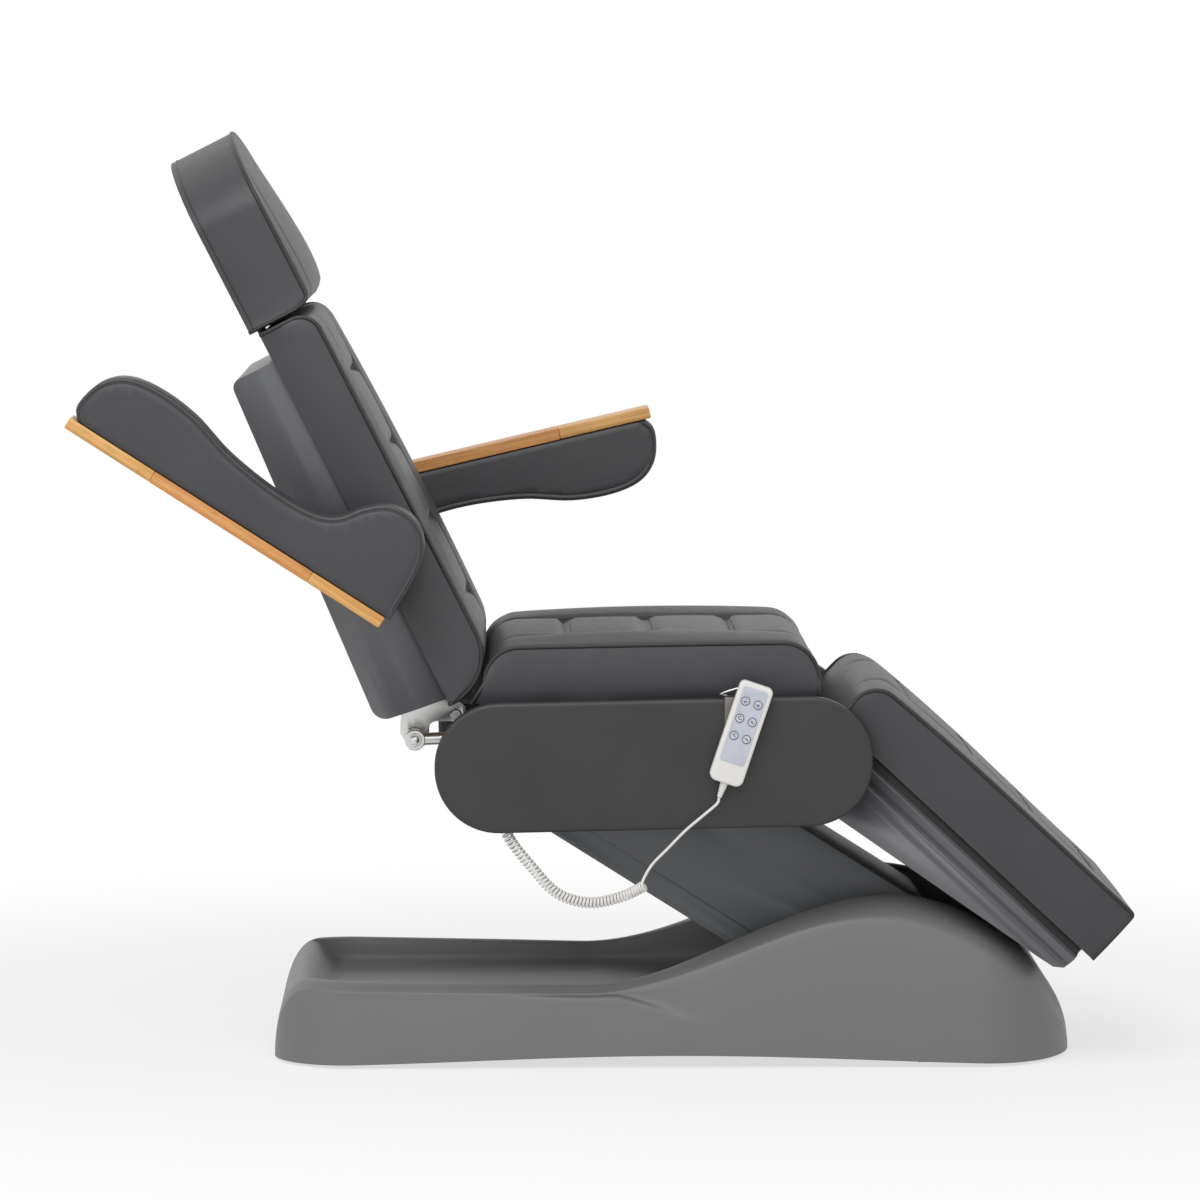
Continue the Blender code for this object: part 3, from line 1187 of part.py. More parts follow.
lift_rise = LIFT_ARM_LENGTH * math.sin(LIFT_ARM_TILT)
lift_run = LIFT_ARM_LENGTH * math.cos(LIFT_ARM_TILT)
rear_x = LIFT_PIVOT_X - REAR_PIVOT_BACK
rear_z = LIFT_PIVOT_Z - REAR_PIVOT_DOWN
actuator_turn = -math.atan2(lift_rise + REAR_PIVOT_DOWN, REAR_PIVOT_BACK - lift_run)
base = frame("base_axis")
front_arm = frame("lift_arm_front_axis", None, LIFT_PIVOT_X, 0.0, LIFT_PIVOT_Z, LIFT_ARM_TILT)
rear_arm = frame("lift_arm_rear_axis", None, rear_x, 0.0, rear_z, LIFT_ARM_TILT)
seat = frame("seat_axis", None, LIFT_PIVOT_X - lift_run, 0.0, LIFT_PIVOT_Z + lift_rise)
lift_motor = frame("lift_motor_axis", None, rear_x, 0.0, rear_z, actuator_turn)
lift_rod = frame("lift_rod_axis", seat, turn=actuator_turn + math.pi)
back = frame("back_axis", seat, BACK_HINGE_X, 0.0, BACK_HINGE_Z, BACK_TILT)
head = frame("head_axis", back, 0.0, 0.0, HEAD_BOTTOM)
right_arm = frame("right_arm_axis", back, ARM_PIVOT_DEPTH, 0.0, ARM_PIVOT_HEIGHT, ARM_USE_TILT - ARM_SWING)
left_arm = frame("left_arm_axis", back, ARM_PIVOT_DEPTH, 0.0, ARM_PIVOT_HEIGHT, ARM_USE_TILT)
leg = frame("leg_axis", seat, LEG_HINGE_X, 0.0, LEG_HINGE_Z, LEG_TILT)
handset = frame("handset_axis", seat, HANDSET_X, HANDSET_Y, HANDSET_Z, HANDSET_TILT)


def seat_point(hinge_x, hinge_z, turn, x, z):
    """A point of a hinged frame, in the seat's frame."""
    across = x * math.cos(turn) + z * math.sin(turn)
    up = z * math.cos(turn) - x * math.sin(turn)
    return hinge_x + across, hinge_z + up


pin_x, pin_z = seat_point(BACK_HINGE_X, BACK_HINGE_Z, BACK_TILT, -LEVER_PIN_BACK, -LEVER_PIN_DOWN)
back_turn = -math.atan2(pin_z - BACK_MOTOR_Z, pin_x - BACK_MOTOR_X)
back_reach = math.dist((pin_x, pin_z), (BACK_MOTOR_X, BACK_MOTOR_Z))
back_motor = frame("back_motor_axis", seat, BACK_MOTOR_X, -MOTOR_Y, BACK_MOTOR_Z, back_turn)
back_rod = frame("back_rod_axis", back, -LEVER_PIN_BACK, -MOTOR_Y, -LEVER_PIN_DOWN, back_turn + math.pi - BACK_TILT)
pin_x, pin_z = seat_point(LEG_HINGE_X, LEG_HINGE_Z, LEG_TILT, LEG_PIN_ALONG, -LEG_PIN_DOWN)
leg_turn = -math.atan2(pin_z - LEG_MOTOR_Z, pin_x - LEG_MOTOR_X)
leg_reach = math.dist((pin_x, pin_z), (LEG_MOTOR_X, LEG_MOTOR_Z))
leg_motor = frame("leg_motor_axis", seat, LEG_MOTOR_X, MOTOR_Y, LEG_MOTOR_Z, leg_turn)
leg_rod = frame("leg_rod_axis", leg, LEG_PIN_ALONG, MOTOR_Y, -LEG_PIN_DOWN, leg_turn + math.pi - LEG_TILT)

base_cover()
base_frame()
lift_arms()
lift_actuator()
seat_cheeks()
seat_body()
side_actuators()
hinge_plates()
back_body()
headrest()
armrests()
leg_rest()
handset_body()
handset_cord()
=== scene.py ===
import json
import math

import bmesh
import bpy
from mathutils import Matrix, Vector

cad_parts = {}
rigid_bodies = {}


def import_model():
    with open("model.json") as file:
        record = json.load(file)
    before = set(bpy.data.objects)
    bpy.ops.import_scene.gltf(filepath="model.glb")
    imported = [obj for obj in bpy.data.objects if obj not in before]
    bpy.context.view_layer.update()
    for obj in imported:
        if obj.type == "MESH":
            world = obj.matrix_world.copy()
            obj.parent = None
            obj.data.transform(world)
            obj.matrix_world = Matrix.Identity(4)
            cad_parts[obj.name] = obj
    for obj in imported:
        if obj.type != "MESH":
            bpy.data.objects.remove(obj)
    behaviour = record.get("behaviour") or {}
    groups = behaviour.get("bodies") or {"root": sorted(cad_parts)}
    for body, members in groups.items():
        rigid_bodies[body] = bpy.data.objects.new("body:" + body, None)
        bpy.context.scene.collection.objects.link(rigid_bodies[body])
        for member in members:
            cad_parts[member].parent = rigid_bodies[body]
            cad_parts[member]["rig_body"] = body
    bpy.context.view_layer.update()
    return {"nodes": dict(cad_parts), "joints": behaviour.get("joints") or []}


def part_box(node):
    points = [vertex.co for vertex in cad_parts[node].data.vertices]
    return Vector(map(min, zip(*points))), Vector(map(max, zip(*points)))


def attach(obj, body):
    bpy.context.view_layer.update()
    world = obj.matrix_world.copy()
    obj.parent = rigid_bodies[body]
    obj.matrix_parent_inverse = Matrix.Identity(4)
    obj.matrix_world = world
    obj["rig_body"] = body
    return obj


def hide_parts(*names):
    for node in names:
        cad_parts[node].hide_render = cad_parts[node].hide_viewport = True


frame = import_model()
scene = bpy.context.scene
scene.view_settings.view_transform = "Standard"

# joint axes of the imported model, and the frames that the pieces are drawn in
turnY = lambda degrees: Matrix.Rotation(math.radians(degrees), 4, "Y")
joints = {joint["name"]: joint for joint in frame["joints"]}
hingeAt = lambda name: Matrix.Translation(joints[name]["pos_m"])
seatFrame = hingeAt("seat_level")
backFrame = hingeAt("back_recline") @ turnY(-27)      # Z up the back, X out of its front
headFrame = backFrame @ Matrix.Translation((0, 0, 0.638))
legFrame = hingeAt("leg_raise") @ turnY(43)           # X down the leg rest, Z out of its top
armRightFrame = hingeAt("arm_right_swing") @ turnY(-27 + 13.8 - 134.1)
armLeftFrame = hingeAt("arm_left_swing") @ turnY(-27 + 13.8)
handsetFrame = seatFrame @ Matrix.Translation((0.2075, -0.339, 0.0570)) @ turnY(18.6)
standing = Matrix(((0, 0, 1, 0), (0, -1, 0, 0), (1, 0, 0, 0), (0, 0, 0, 1)))   # a cushion's X to Z, its Z to X


def hexColour(value):
    parts = [int(value[i:i + 2], 16) / 255 for i in (1, 3, 5)]
    return (*[p / 12.92 if p <= 0.04045 else ((p + 0.055) / 1.055) ** 2.4 for p in parts], 1.0)


def addNode(tree, kind, values=None, links=None, **settings):
    node = tree.nodes.new("ShaderNode" + kind)
    for name, value in settings.items():
        setattr(node, name, value)
    for socket, value in (values or {}).items():
        node.inputs[socket].default_value = value
    for socket, source in (links or {}).items():
        tree.links.new(source, node.inputs[socket])
    return node


def newMaterial(name, **sockets):
    material = bpy.data.materials.new(name)
    material.use_nodes = True
    shader = material.node_tree.nodes["Principled BSDF"]
    for socket, value in sockets.items():
        shader.inputs[socket.replace("_", " ")].default_value = value
    return material, material.node_tree, shader


def addPiece(name, mesh, body, material, smoothAngle=40, replaced=()):
    mesh.materials.clear()
    mesh.materials.append(material)
    mesh.shade_smooth()
    mesh.set_sharp_from_angle(angle=math.radians(smoothAngle))
    piece = bpy.data.objects.new(name, mesh)
    scene.collection.objects.link(piece)
    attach(piece, body)
    if replaced:
        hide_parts(*replaced)
    return piece


def toMesh(made, name, place=None):
    mesh = bpy.data.meshes.new(name)
    bmesh.ops.recalc_face_normals(made, faces=made.faces[:])
    if place is not None:
        made.transform(place)
    made.to_mesh(mesh)
    made.free()
    return mesh


def tubeMesh(points, radius, sides=3, closed=False, caps=True):
    curve = bpy.data.curves.new("tube", "CURVE")
    curve.dimensions = "3D"
    curve.bevel_depth = radius
    curve.bevel_resolution = sides
    curve.use_fill_caps = caps
    spline = curve.splines.new("POLY")
    spline.points.add(len(points) - 1)
    for point, place in zip(spline.points, points):
        point.co = (*place, 1.0)
    spline.use_cyclic_u = closed
    holder = bpy.data.objects.new("tube", curve)
    scene.collection.objects.link(holder)
    graph = bpy.context.evaluated_depsgraph_get()
    mesh = bpy.data.meshes.new_from_object(holder.evaluated_get(graph))
    bpy.data.objects.remove(holder)
    bpy.data.curves.remove(curve)
    return mesh


def smoothRun(points, steps):
    knots = [Vector(p) for p in points]
    knots = [2 * knots[0] - knots[1], *knots, 2 * knots[-1] - knots[-2]]
    run = []
    for i in range(1, len(knots) - 2):
        a, b, c, d = knots[i - 1:i + 3]
        for step in range(steps):
            t = step / steps
            run.append((2 * b + (c - a) * t + (2 * a - 5 * b + 4 * c - d) * t * t + (3 * b - a - 3 * c + d) * t ** 3) / 2)
    run.append(knots[-2])
    return run


def ramp(value, start, end):
    share = min(1.0, max(0.0, (value - start) / (end - start)))
    return share * share * (3 - 2 * share)


# camera at the photograph's viewing angle, a long lens a little above the headrest
cameraView = {"at": (-0.155, -9.29, 1.409), "aim": (-0.004, -0.29, 0.6823), "lens": 188.2}
cameraData = bpy.data.cameras.new("camera")
cameraData.lens = cameraView["lens"]
cameraData.sensor_width = 36.0
camera = bpy.data.objects.new("camera", cameraData)
camera.location = cameraView["at"]
look = Vector(cameraView["aim"]) - Vector(cameraView["at"])
camera.rotation_euler = look.to_track_quat("-Z", "Y").to_euler()
scene.collection.objects.link(camera)
scene.camera = camera
print("camera set")

# PVC-coated upholstery fabric, embossed with a fine pebble: soft satin highlights, no weave to see
vinyl = {"colour": "#38383b", "worn": "#3b3b3e", "dark": "#353538", "pebbleMm": 2.6, "cloudMm": 140.0}


def makeVinyl(name, colours):
    material, tree, shader = newMaterial(name, IOR=1.52)
    place = addNode(tree, "TexCoord").outputs["Object"]
    cloud = addNode(tree, "TexNoise", {"Scale": 1000 / colours["cloudMm"], "Detail": 3.0}, {"Vector": place})
    fine = addNode(tree, "TexNoise", {"Scale": 1000 / 14.0, "Detail": 4.0}, {"Vector": place})
    tone = addNode(tree, "ValToRGB", links={"Fac": cloud.outputs["Fac"]})
    tone.color_ramp.elements[0].position = 0.32
    tone.color_ramp.elements[0].color = hexColour(colours["dark"])
    tone.color_ramp.elements[1].position = 0.70
    tone.color_ramp.elements[1].color = hexColour(colours["worn"])
    middle = tone.color_ramp.elements.new(0.5)
    middle.color = hexColour(colours["colour"])
    tree.links.new(tone.outputs["Color"], shader.inputs["Base Color"])
    # real pebble is about 1 mm, drawn coarser so that it shows
    pebble = addNode(tree, "TexVoronoi", {"Scale": 1000 / colours["pebbleMm"]}, {"Vector": place}, feature="F1")
    height = addNode(tree, "Math", {1: 0.6}, {0: pebble.outputs["Distance"], 2: fine.outputs["Fac"]}, operation="MULTIPLY_ADD")
    bump = addNode(tree, "Bump", {"Strength": 0.22, "Distance": 0.0006}, {"Height": height.outputs[0]})
    tree.links.new(bump.outputs["Normal"], shader.inputs["Normal"])
    rough = addNode(tree, "MapRange", {"To Min": 0.40, "To Max": 0.56}, {"Value": fine.outputs["Fac"]})
    tree.links.new(rough.outputs["Result"], shader.inputs["Roughness"])
    return material


vinylSkin = makeVinyl("grey_pvc_upholstery", vinyl)
vinylPanel = makeVinyl("dark_pvc_panel", dict(vinyl, colour="#2a2a2c", worn="#2d2d2f", dark="#272729"))
# piping, welts and seam tubes are much darker than the upholstery: a darker piping vinyl plus painted shade for the
# dark line along each seam
pipingSeamShade = makeVinyl("pvc_piping_with_painted_seam_shade", {"colour": "#1f1f21", "worn": "#242426", "dark": "#1b1b1d", "pebbleMm": 2.0, "cloudMm": 60.0})

# bonded polyester sewing thread, a little lighter than the vinyl and twisted, so dull
thread, tree, shader = newMaterial("polyester_thread", Base_Color=hexColour("#5f5f61"), Roughness=0.75)
twist = addNode(tree, "TexNoise", {"Scale": 1000 / 0.8}, {"Vector": addNode(tree, "TexCoord").outputs["Object"]})
tree.links.new(addNode(tree, "Bump", {"Strength": 0.3, "Distance": 0.0002}, {"Height": twist.outputs["Fac"]}).outputs["Normal"], shader.inputs["Normal"])


# moulded ABS: even satin skin with a fine spark-eroded texture and faint flow clouding
def makeAbs(name, colour, light, roughness, grainMm):
    material, tree, shader = newMaterial(name, IOR=1.53)
    place = addNode(tree, "TexCoord").outputs["Object"]
    cloud = addNode(tree, "TexNoise", {"Scale": 1000 / 160.0, "Detail": 2.0}, {"Vector": place})
    tone = addNode(tree, "Mix", {6: hexColour(colour), 7: hexColour(light)}, {0: cloud.outputs["Fac"]}, data_type="RGBA")
    tree.links.new(tone.outputs[2], shader.inputs["Base Color"])
    grain = addNode(tree, "TexNoise", {"Scale": 1000 / grainMm, "Detail": 3.0}, {"Vector": place})
    bump = addNode(tree, "Bump", {"Strength": 0.16, "Distance": 0.0004}, {"Height": grain.outputs["Fac"]})
    tree.links.new(bump.outputs["Normal"], shader.inputs["Normal"])
    rough = addNode(tree, "MapRange", {"To Min": roughness - 0.06, "To Max": roughness + 0.06}, {"Value": grain.outputs["Fac"]})
    tree.links.new(rough.outputs["Result"], shader.inputs["Roughness"])
    return material


baseAbs = makeAbs("base_abs", "#707070", "#767676", 0.50, 2.2)
coverAbs = makeAbs("cover_abs", "#5e5f62", "#646568", 0.38, 2.2)
armAbs = makeAbs("lift_cover_abs", "#5f6163", "#67696b", 0.46, 2.2)
motorPlastic = makeAbs("black_nylon", "#242425", "#2b2b2c", 0.50, 1.6)
handsetAbs = makeAbs("ivory_abs", "#e2e0dc", "#e9e7e3", 0.34, 1.2)
filmPolyester = makeAbs("keypad_polyester", "#bec2cd", "#c6cad4", 0.38, 0.9)
keyPolyester = makeAbs("key_polyester", "#c4c8d2", "#cccfd8", 0.36, 0.9)
cordPvc = makeAbs("cord_pvc", "#e0deda", "#e8e6e2", 0.40, 1.0)
# the leg board's black is painted shade for the gap between the leg cushion and its cover, not a lacquer colour
gapShadeBoard = makeAbs("plywood_black_as_painted_gap_shade", "#1f1f20", "#262627", 0.60, 2.0)
rubberSkin = makeAbs("black_rubber", "#1c1c1c", "#222222", 0.85, 1.6)


# zinc-plated steel: bright, slightly blue, with fine rolling marks
def makeSteel(name, colour, roughness, metallic=1.0):
    material, tree, shader = newMaterial(name, Metallic=metallic)
    place = addNode(tree, "TexCoord").outputs["Object"]
    stretch = addNode(tree, "Mapping", {"Scale": (1000 / 30.0, 1000 / 1.2, 1000 / 1.2)}, {"Vector": place})
    marks = addNode(tree, "TexNoise", {"Scale": 1.0, "Detail": 3.0}, {"Vector": stretch.outputs["Vector"]})
    tone = addNode(tree, "Mix", {6: hexColour(colour[0]), 7: hexColour(colour[1])}, {0: marks.outputs["Fac"]}, data_type="RGBA")
    tree.links.new(tone.outputs[2], shader.inputs["Base Color"])
    rough = addNode(tree, "MapRange", {"To Min": roughness - 0.08, "To Max": roughness + 0.08}, {"Value": marks.outputs["Fac"]})
    tree.links.new(rough.outputs["Result"], shader.inputs["Roughness"])
    return material


zincSteel = makeSteel("zinc_plated_steel", ("#d0d0cf", "#dddddb"), 0.34)
# the hook plate's dull steel is darkened to an olive grey: partly its dull beige finish, partly painted shade from
# sitting behind the handset
dullSteelWithShade = makeSteel("dull_zinc_steel_with_painted_shade", ("#6f6d66", "#7a7871"), 0.42)
paintedSteel = makeSteel("black_powder_coat", ("#2f2f30", "#363637"), 0.55, 0.0)


# oiled oak strip: long straight grain along the arm, darker pores, satin oil
def makeOak(name, turn, wood):
    material, tree, shader = newMaterial(name, IOR=1.50)
    place = addNode(tree, "TexCoord").outputs["Object"]
    along = addNode(tree, "Mapping", {"Rotation": (0.0, math.radians(turn), 0.0)}, {"Vector": place})
    stretch = addNode(tree, "Mapping", {"Scale": (1000 / 160.0, 1000 / wood["grainMm"], 1000 / wood["grainMm"])}, {"Vector": along.outputs["Vector"]})
    grain = addNode(tree, "TexNoise", {"Scale": 1.0, "Detail": 5.0, "Roughness": 0.62, "Distortion": 0.4}, {"Vector": stretch.outputs["Vector"]})
    tone = addNode(tree, "ValToRGB", links={"Fac": grain.outputs["Fac"]})
    tone.color_ramp.elements[0].position = 0.30
    tone.color_ramp.elements[0].color = hexColour(wood["dark"])
    tone.color_ramp.elements[1].position = 0.66
    tone.color_ramp.elements[1].color = hexColour(wood["light"])
    middle = tone.color_ramp.elements.new(0.48)
    middle.color = hexColour(wood["colour"])
    pores = addNode(tree, "Mapping", {"Scale": (1000 / 24.0, 1000 / 1.3, 1000 / 1.3)}, {"Vector": along.outputs["Vector"]})
    pore = addNode(tree, "TexNoise", {"Scale": 1.0, "Detail": 2.0}, {"Vector": pores.outputs["Vector"]})
    depth = addNode(tree, "MapRange", {"From Min": 0.58, "From Max": 0.72}, {"Value": pore.outputs["Fac"]})
    shade = addNode(tree, "Mix", {7: hexColour(wood["pore"])}, {6: tone.outputs["Color"]}, data_type="RGBA")
    faint = addNode(tree, "Math", {1: 0.45}, {0: depth.outputs["Result"]}, operation="MULTIPLY")
    tree.links.new(faint.outputs[0], shade.inputs[0])
    tree.links.new(shade.outputs[2], shader.inputs["Base Color"])
    bump = addNode(tree, "Bump", {"Strength": 0.25, "Distance": 0.0005}, {"Height": depth.outputs["Result"]}, invert=True)
    tree.links.new(bump.outputs["Normal"], shader.inputs["Normal"])
    rough = addNode(tree, "MapRange", {"To Min": 0.34, "To Max": 0.50}, {"Value": grain.outputs["Fac"]})
    tree.links.new(rough.outputs["Result"], shader.inputs["Roughness"])
    return material


oakStaves = [
    {"colour": "#d69f58", "light": "#e2b370", "dark": "#bd8746", "pore": "#8f5f30", "grainMm": 7.0},
    {"colour": "#cf8f4e", "light": "#daa264", "dark": "#b5793f", "pore": "#86552b", "grainMm": 7.0},
    {"colour": "#d8a45f", "light": "#e4b777", "dark": "#c08c4b", "pore": "#92632f", "grainMm": 7.0},
]
plywood = makeOak("birch_plywood", 0.0, {"colour": "#b99b70", "light": "#c9ad84", "dark": "#a4865c", "pore": "#86683f", "grainMm": 12.0})
# screen-printed ink on the keys: dull dark blue-grey, a little uneven
printInk = makeAbs("print_ink", "#262b36", "#2f3540", 0.60, 0.9)
print("materials made")

# curly handset cord: straight lead from the boot, curls in a hanging bow, straight tail up into the gland under the seat
curlyCord = {
    "radius": 0.0021, "curl": 0.0062, "turns": 48, "closer": 0.22, "perTurn": 18, "ease": 0.085, "reach": 0.032,
    "away": (-0.67, -0.39, 0.64), "heading": 0.012, "lastKnot": 9, "leadSteps": 6, "tailStep": 0.004, "smooth": 60,
}
leadRoute = [
    (0.1730, -0.3390, -0.0447), (0.1535, -0.3395, -0.0615), (0.1280, -0.3405, -0.0830), (0.1020, -0.3410, -0.1095),
    (0.0790, -0.3405, -0.1335),
]
curlRoute = [
    (0.0690, -0.3490, -0.1615), (0.0545, -0.3420, -0.1705), (0.0350, -0.3385, -0.1790), (-0.0040, -0.3385, -0.1875),
    (-0.0400, -0.3370, -0.1815), (-0.0660, -0.3330, -0.1665), (-0.0900, -0.3240, -0.1405), (-0.1130, -0.3100, -0.1145),
    (-0.1290, -0.2960, -0.0915), (-0.1360, -0.2850, -0.0675), (-0.1380, -0.2780, -0.0385), (-0.1385, -0.2740, -0.0055),
    (-0.1385, -0.2720, 0.0345),
]


def cordLine(form):
    route = smoothRun(curlRoute, form["smooth"])
    lengths = [0.0]
    for a, b in zip(route, route[1:]):
        lengths.append(lengths[-1] + (b - a).length)
    last = lengths[form["smooth"] * form["lastKnot"]]

    def at(distance):
        i = next(k for k, length in enumerate(lengths[1:]) if length >= distance - 1e-9)
        share = (distance - lengths[i]) / (lengths[i + 1] - lengths[i])
        return route[i].lerp(route[i + 1], share), (route[i + 1] - route[i]).normalized()

    # the curls stop turning before the tail leaves them, so that no bend is much tighter than a curl
    count = form["turns"] * form["perTurn"]
    rates = [
        ramp(count - k, 0, form["ease"] * count) * (1 + form["closer"] * (1 - 2 * k / count)) for k in range(count + 1)
    ]
    unit = 2 * math.pi * form["turns"] / sum(rates)
    angle = 0.0
    side = Vector(form["away"])
    curls, spokes = [], []
    for k, rate in enumerate(rates):
        middle, ahead = at(last * k / count)
        side = (side - ahead * side.dot(ahead)).normalized()
        spokes.append(form["curl"] * (side * math.cos(angle) - ahead.cross(side) * math.sin(angle)))
        curls.append(middle + spokes[-1])
        angle += unit * rate
    # the lead meets the first curl along its rim
    boot = seatFrame.inverted() @ handsetFrame @ Vector((0, 0, -0.0976))
    beyond = curls[0] + form["heading"] * (curls[1] - curls[0]).normalized()
    lead = smoothRun([boot, *leadRoute, curls[0], beyond], form["leadSteps"])[:-form["leadSteps"] - 1]
    rest = lengths[-1] - last
    tailCount = round(rest / form["tailStep"])
    tailStops = [last + rest * k / tailCount for k in range(1, tailCount + 1)]
    tail = [at(d)[0] + ramp(d, last + form["reach"], last) * spokes[-1] for d in tailStops]
    return [seatFrame @ p for p in lead + curls + tail]


cordPoints = cordLine(curlyCord)
cordData = bpy.data.curves.new("handset_curly_cord", "CURVE")
cordData.dimensions = "3D"
cordData.bevel_depth = curlyCord["radius"]
cordData.bevel_resolution = 3
cordData.use_fill_caps = True
cordSpline = cordData.splines.new("POLY")
cordSpline.points.add(len(cordPoints) - 1)
for point, place in zip(cordSpline.points, cordPoints):
    point.co = (*place, 1.0)
cordSpline.use_smooth = True
cordData.materials.append(cordPvc)
cordPiece = bpy.data.objects.new("handset_curly_cord", cordData)
scene.collection.objects.link(cordPiece)
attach(cordPiece, "seat")
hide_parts("handset_cord")


# cushions: a block cut into fine rows, then crowned, drawn in at the sides and pressed in along its sewn channels
def archDrop(form, across):
    reach = min(1.0, abs(across) / (form["width"] / 2))
    return form["arch"] * (1 - math.sqrt(1 - reach ** 2))


def cushionPoint(form, along, across, level):
    length, half, thick = form["length"], form["width"] / 2, form["thick"]
    share, reach = along / length, min(1.0, abs(across) / half)
    top = thick + form["rise"] * share - form["taper"] * max(0.0, 1 - 2 * share) ** 2
    for radius, gap in ((form["rearRadius"], along), (form["frontRadius"], length - along)):
        if gap < radius:
            top -= radius - math.sqrt(max(0.0, radius ** 2 - (radius - gap) ** 2))
    swellAlong = max(0.0, math.sin(math.pi * min(1, max(0, share)) ** form["crownPower"]))
    top += form["crown"] * (1 - reach ** 2) * swellAlong
    rim = half - abs(across)
    if form["arch"]:                                  # the rim follows the arched end too
        slope = form["arch"] / half * reach / max(0.02, math.sqrt(1 - reach ** 2))
        rim = min(rim, (length - along) * (1 - archDrop(form, across) / length) / math.hypot(1, slope))
    edge = max(0.0, form["edge"] - rim)
    top -= form["edge"] - math.sqrt(max(0.0, form["edge"] ** 2 - edge ** 2)) if edge else 0.0
    band = form["band"]
    if abs(across) > band:
        top += form["bolster"] * math.sin(math.pi * (abs(across) - band) / (half - band)) * swellAlong ** 0.5
    inside = ramp(form["band"] + 0.004 - abs(across), 0.0, 0.012)
    groove = math.exp(-((abs(across) - band) / form["seamWidth"]) ** 2) * ramp(swellAlong, 0.05, 0.3)
    pucker = 0.0
    for seam in form["seams"]:
        near = math.exp(-((along - seam) / form["seamWidth"]) ** 2) * inside
        groove = max(groove, near)
        pucker += math.exp(-abs(along - seam) / 0.016) * inside * math.sin(across / 0.0085 + 7 * seam / 0.05)
    top -= form["seamDepth"] * groove
    top += 0.0005 * pucker
    if form["seams"] and abs(across) < band:
        marks = [0.0, *form["seams"], length]
        i = next((k for k in range(len(marks) - 1) if marks[k] <= along <= marks[k + 1]), 0)
        local = (along - marks[i]) / (marks[i + 1] - marks[i])
        top += form["puff"] * max(0.0, math.sin(math.pi * local)) ** 0.6 * max(0.0, math.cos(math.pi * across / (2 * band))) ** 0.4
    outer = ramp(reach, 0.80, 1.0)
    pull = form["pull"] * swellAlong - form["swell"] * math.sin(math.pi * level)
    fold = 0.0011 * math.sin(along / 0.021 + 3 * math.sin(along / 0.09)) * math.exp(-level * thick / 0.018) * form["creases"]
    wide = 1 - outer * (pull + fold * swellAlong) / half
    rearSwell, frontSwell = form["endSwell"]
    bulge = math.sin(math.pi * level) * (1 - reach ** 4)
    along *= 1 - archDrop(form, across) / length
    along += bulge * (frontSwell * max(0.0, 4 * share - 3) - rearSwell * max(0.0, 1 - 4 * share))
    return Vector((along + form["lean"] * level * (1 - share), across * wide, top * level))


def cushionMesh(name, form, place):
    length, width, thick = form["length"], form["width"], form["thick"]
    made = bmesh.new()
    block = Matrix.Translation((length / 2, 0, thick / 2)) @ Matrix.Diagonal((length, width, thick, 1))
    bmesh.ops.create_cube(made, size=1.0, matrix=block)
    rows = round(length / form["step"])
    cuts = [((length * k / rows, 0, 0), (1, 0, 0)) for k in range(1, rows)]
    cuts += [((end, 0, 0), (1, 0, 0)) for end in (0.0012, 0.005, length - 0.0012, length - 0.005)]
    columns = round(width / form["step"])
    cuts += [((0, width * k / columns - width / 2, 0), (0, 1, 0)) for k in range(1, columns)]
    cuts += [((0, side * (width / 2 - inset), 0), (0, 1, 0)) for side in (-1, 1) for inset in (0.0008, 0.003)]
    cuts += [((0, 0, thick * k / 8), (0, 0, 1)) for k in range(1, 8)]
    if form["arch"]:
        cuts += [((0, width / 2 * math.sin(math.pi * k / 48), 0), (0, 1, 0)) for k in range(-23, 24)]
    for point, normal in cuts:
        bmesh.ops.bisect_plane(made, geom=made.verts[:] + made.edges[:] + made.faces[:], dist=1e-5, plane_co=point, plane_no=normal)
    for vertex in made.verts:
        vertex.co = cushionPoint(form, vertex.co.x, vertex.co.y, vertex.co.z / thick)
    return toMesh(made, name, place)


def pipingPath(form, side, inset=0.0, level=1.0):
    half, length, arch = form["width"] / 2 - inset, form["length"], form["arch"]
    if arch:                                          # up the side and over the arch, to meet the other side's in the middle
        run = [((length - arch) * k / 40, half) for k in range(41)]
        turns = [math.pi * k / 96 for k in range(1, 49)]
        run += [(length - arch + (arch - inset) * math.sin(turn), half * math.cos(turn)) for turn in turns]
        run = [(along / (1 - archDrop(form, across) / length), across) for along, across in run]
        rise = [cushionPoint(form, 0, side * half, level * k / 6) for k in range(6)] if level == 1 else []
        return rise + [cushionPoint(form, along, side * across, level) for along, across in run]
    rows = 64
    rise = [cushionPoint(form, 0, side * half, k / 6) for k in range(6)]
    over = [cushionPoint(form, length * (0.5 - 0.5 * math.cos(math.pi * k / rows)), side * half, 1) for k in range(rows + 1)]
    fall = [cushionPoint(form, length, side * half, 1 - k / 6) for k in range(1, 7)]
    return rise + over + fall


def addPiping(name, form, place, body, radius=0.0032):
    for side, label in ((-1, "right"), (1, "left")):
        path = [place @ p for p in pipingPath(form, side, 0.0012)]
        addPiece(f"{name}_piping_{label}", tubeMesh(path, radius), body, pipingSeamShade, 60)


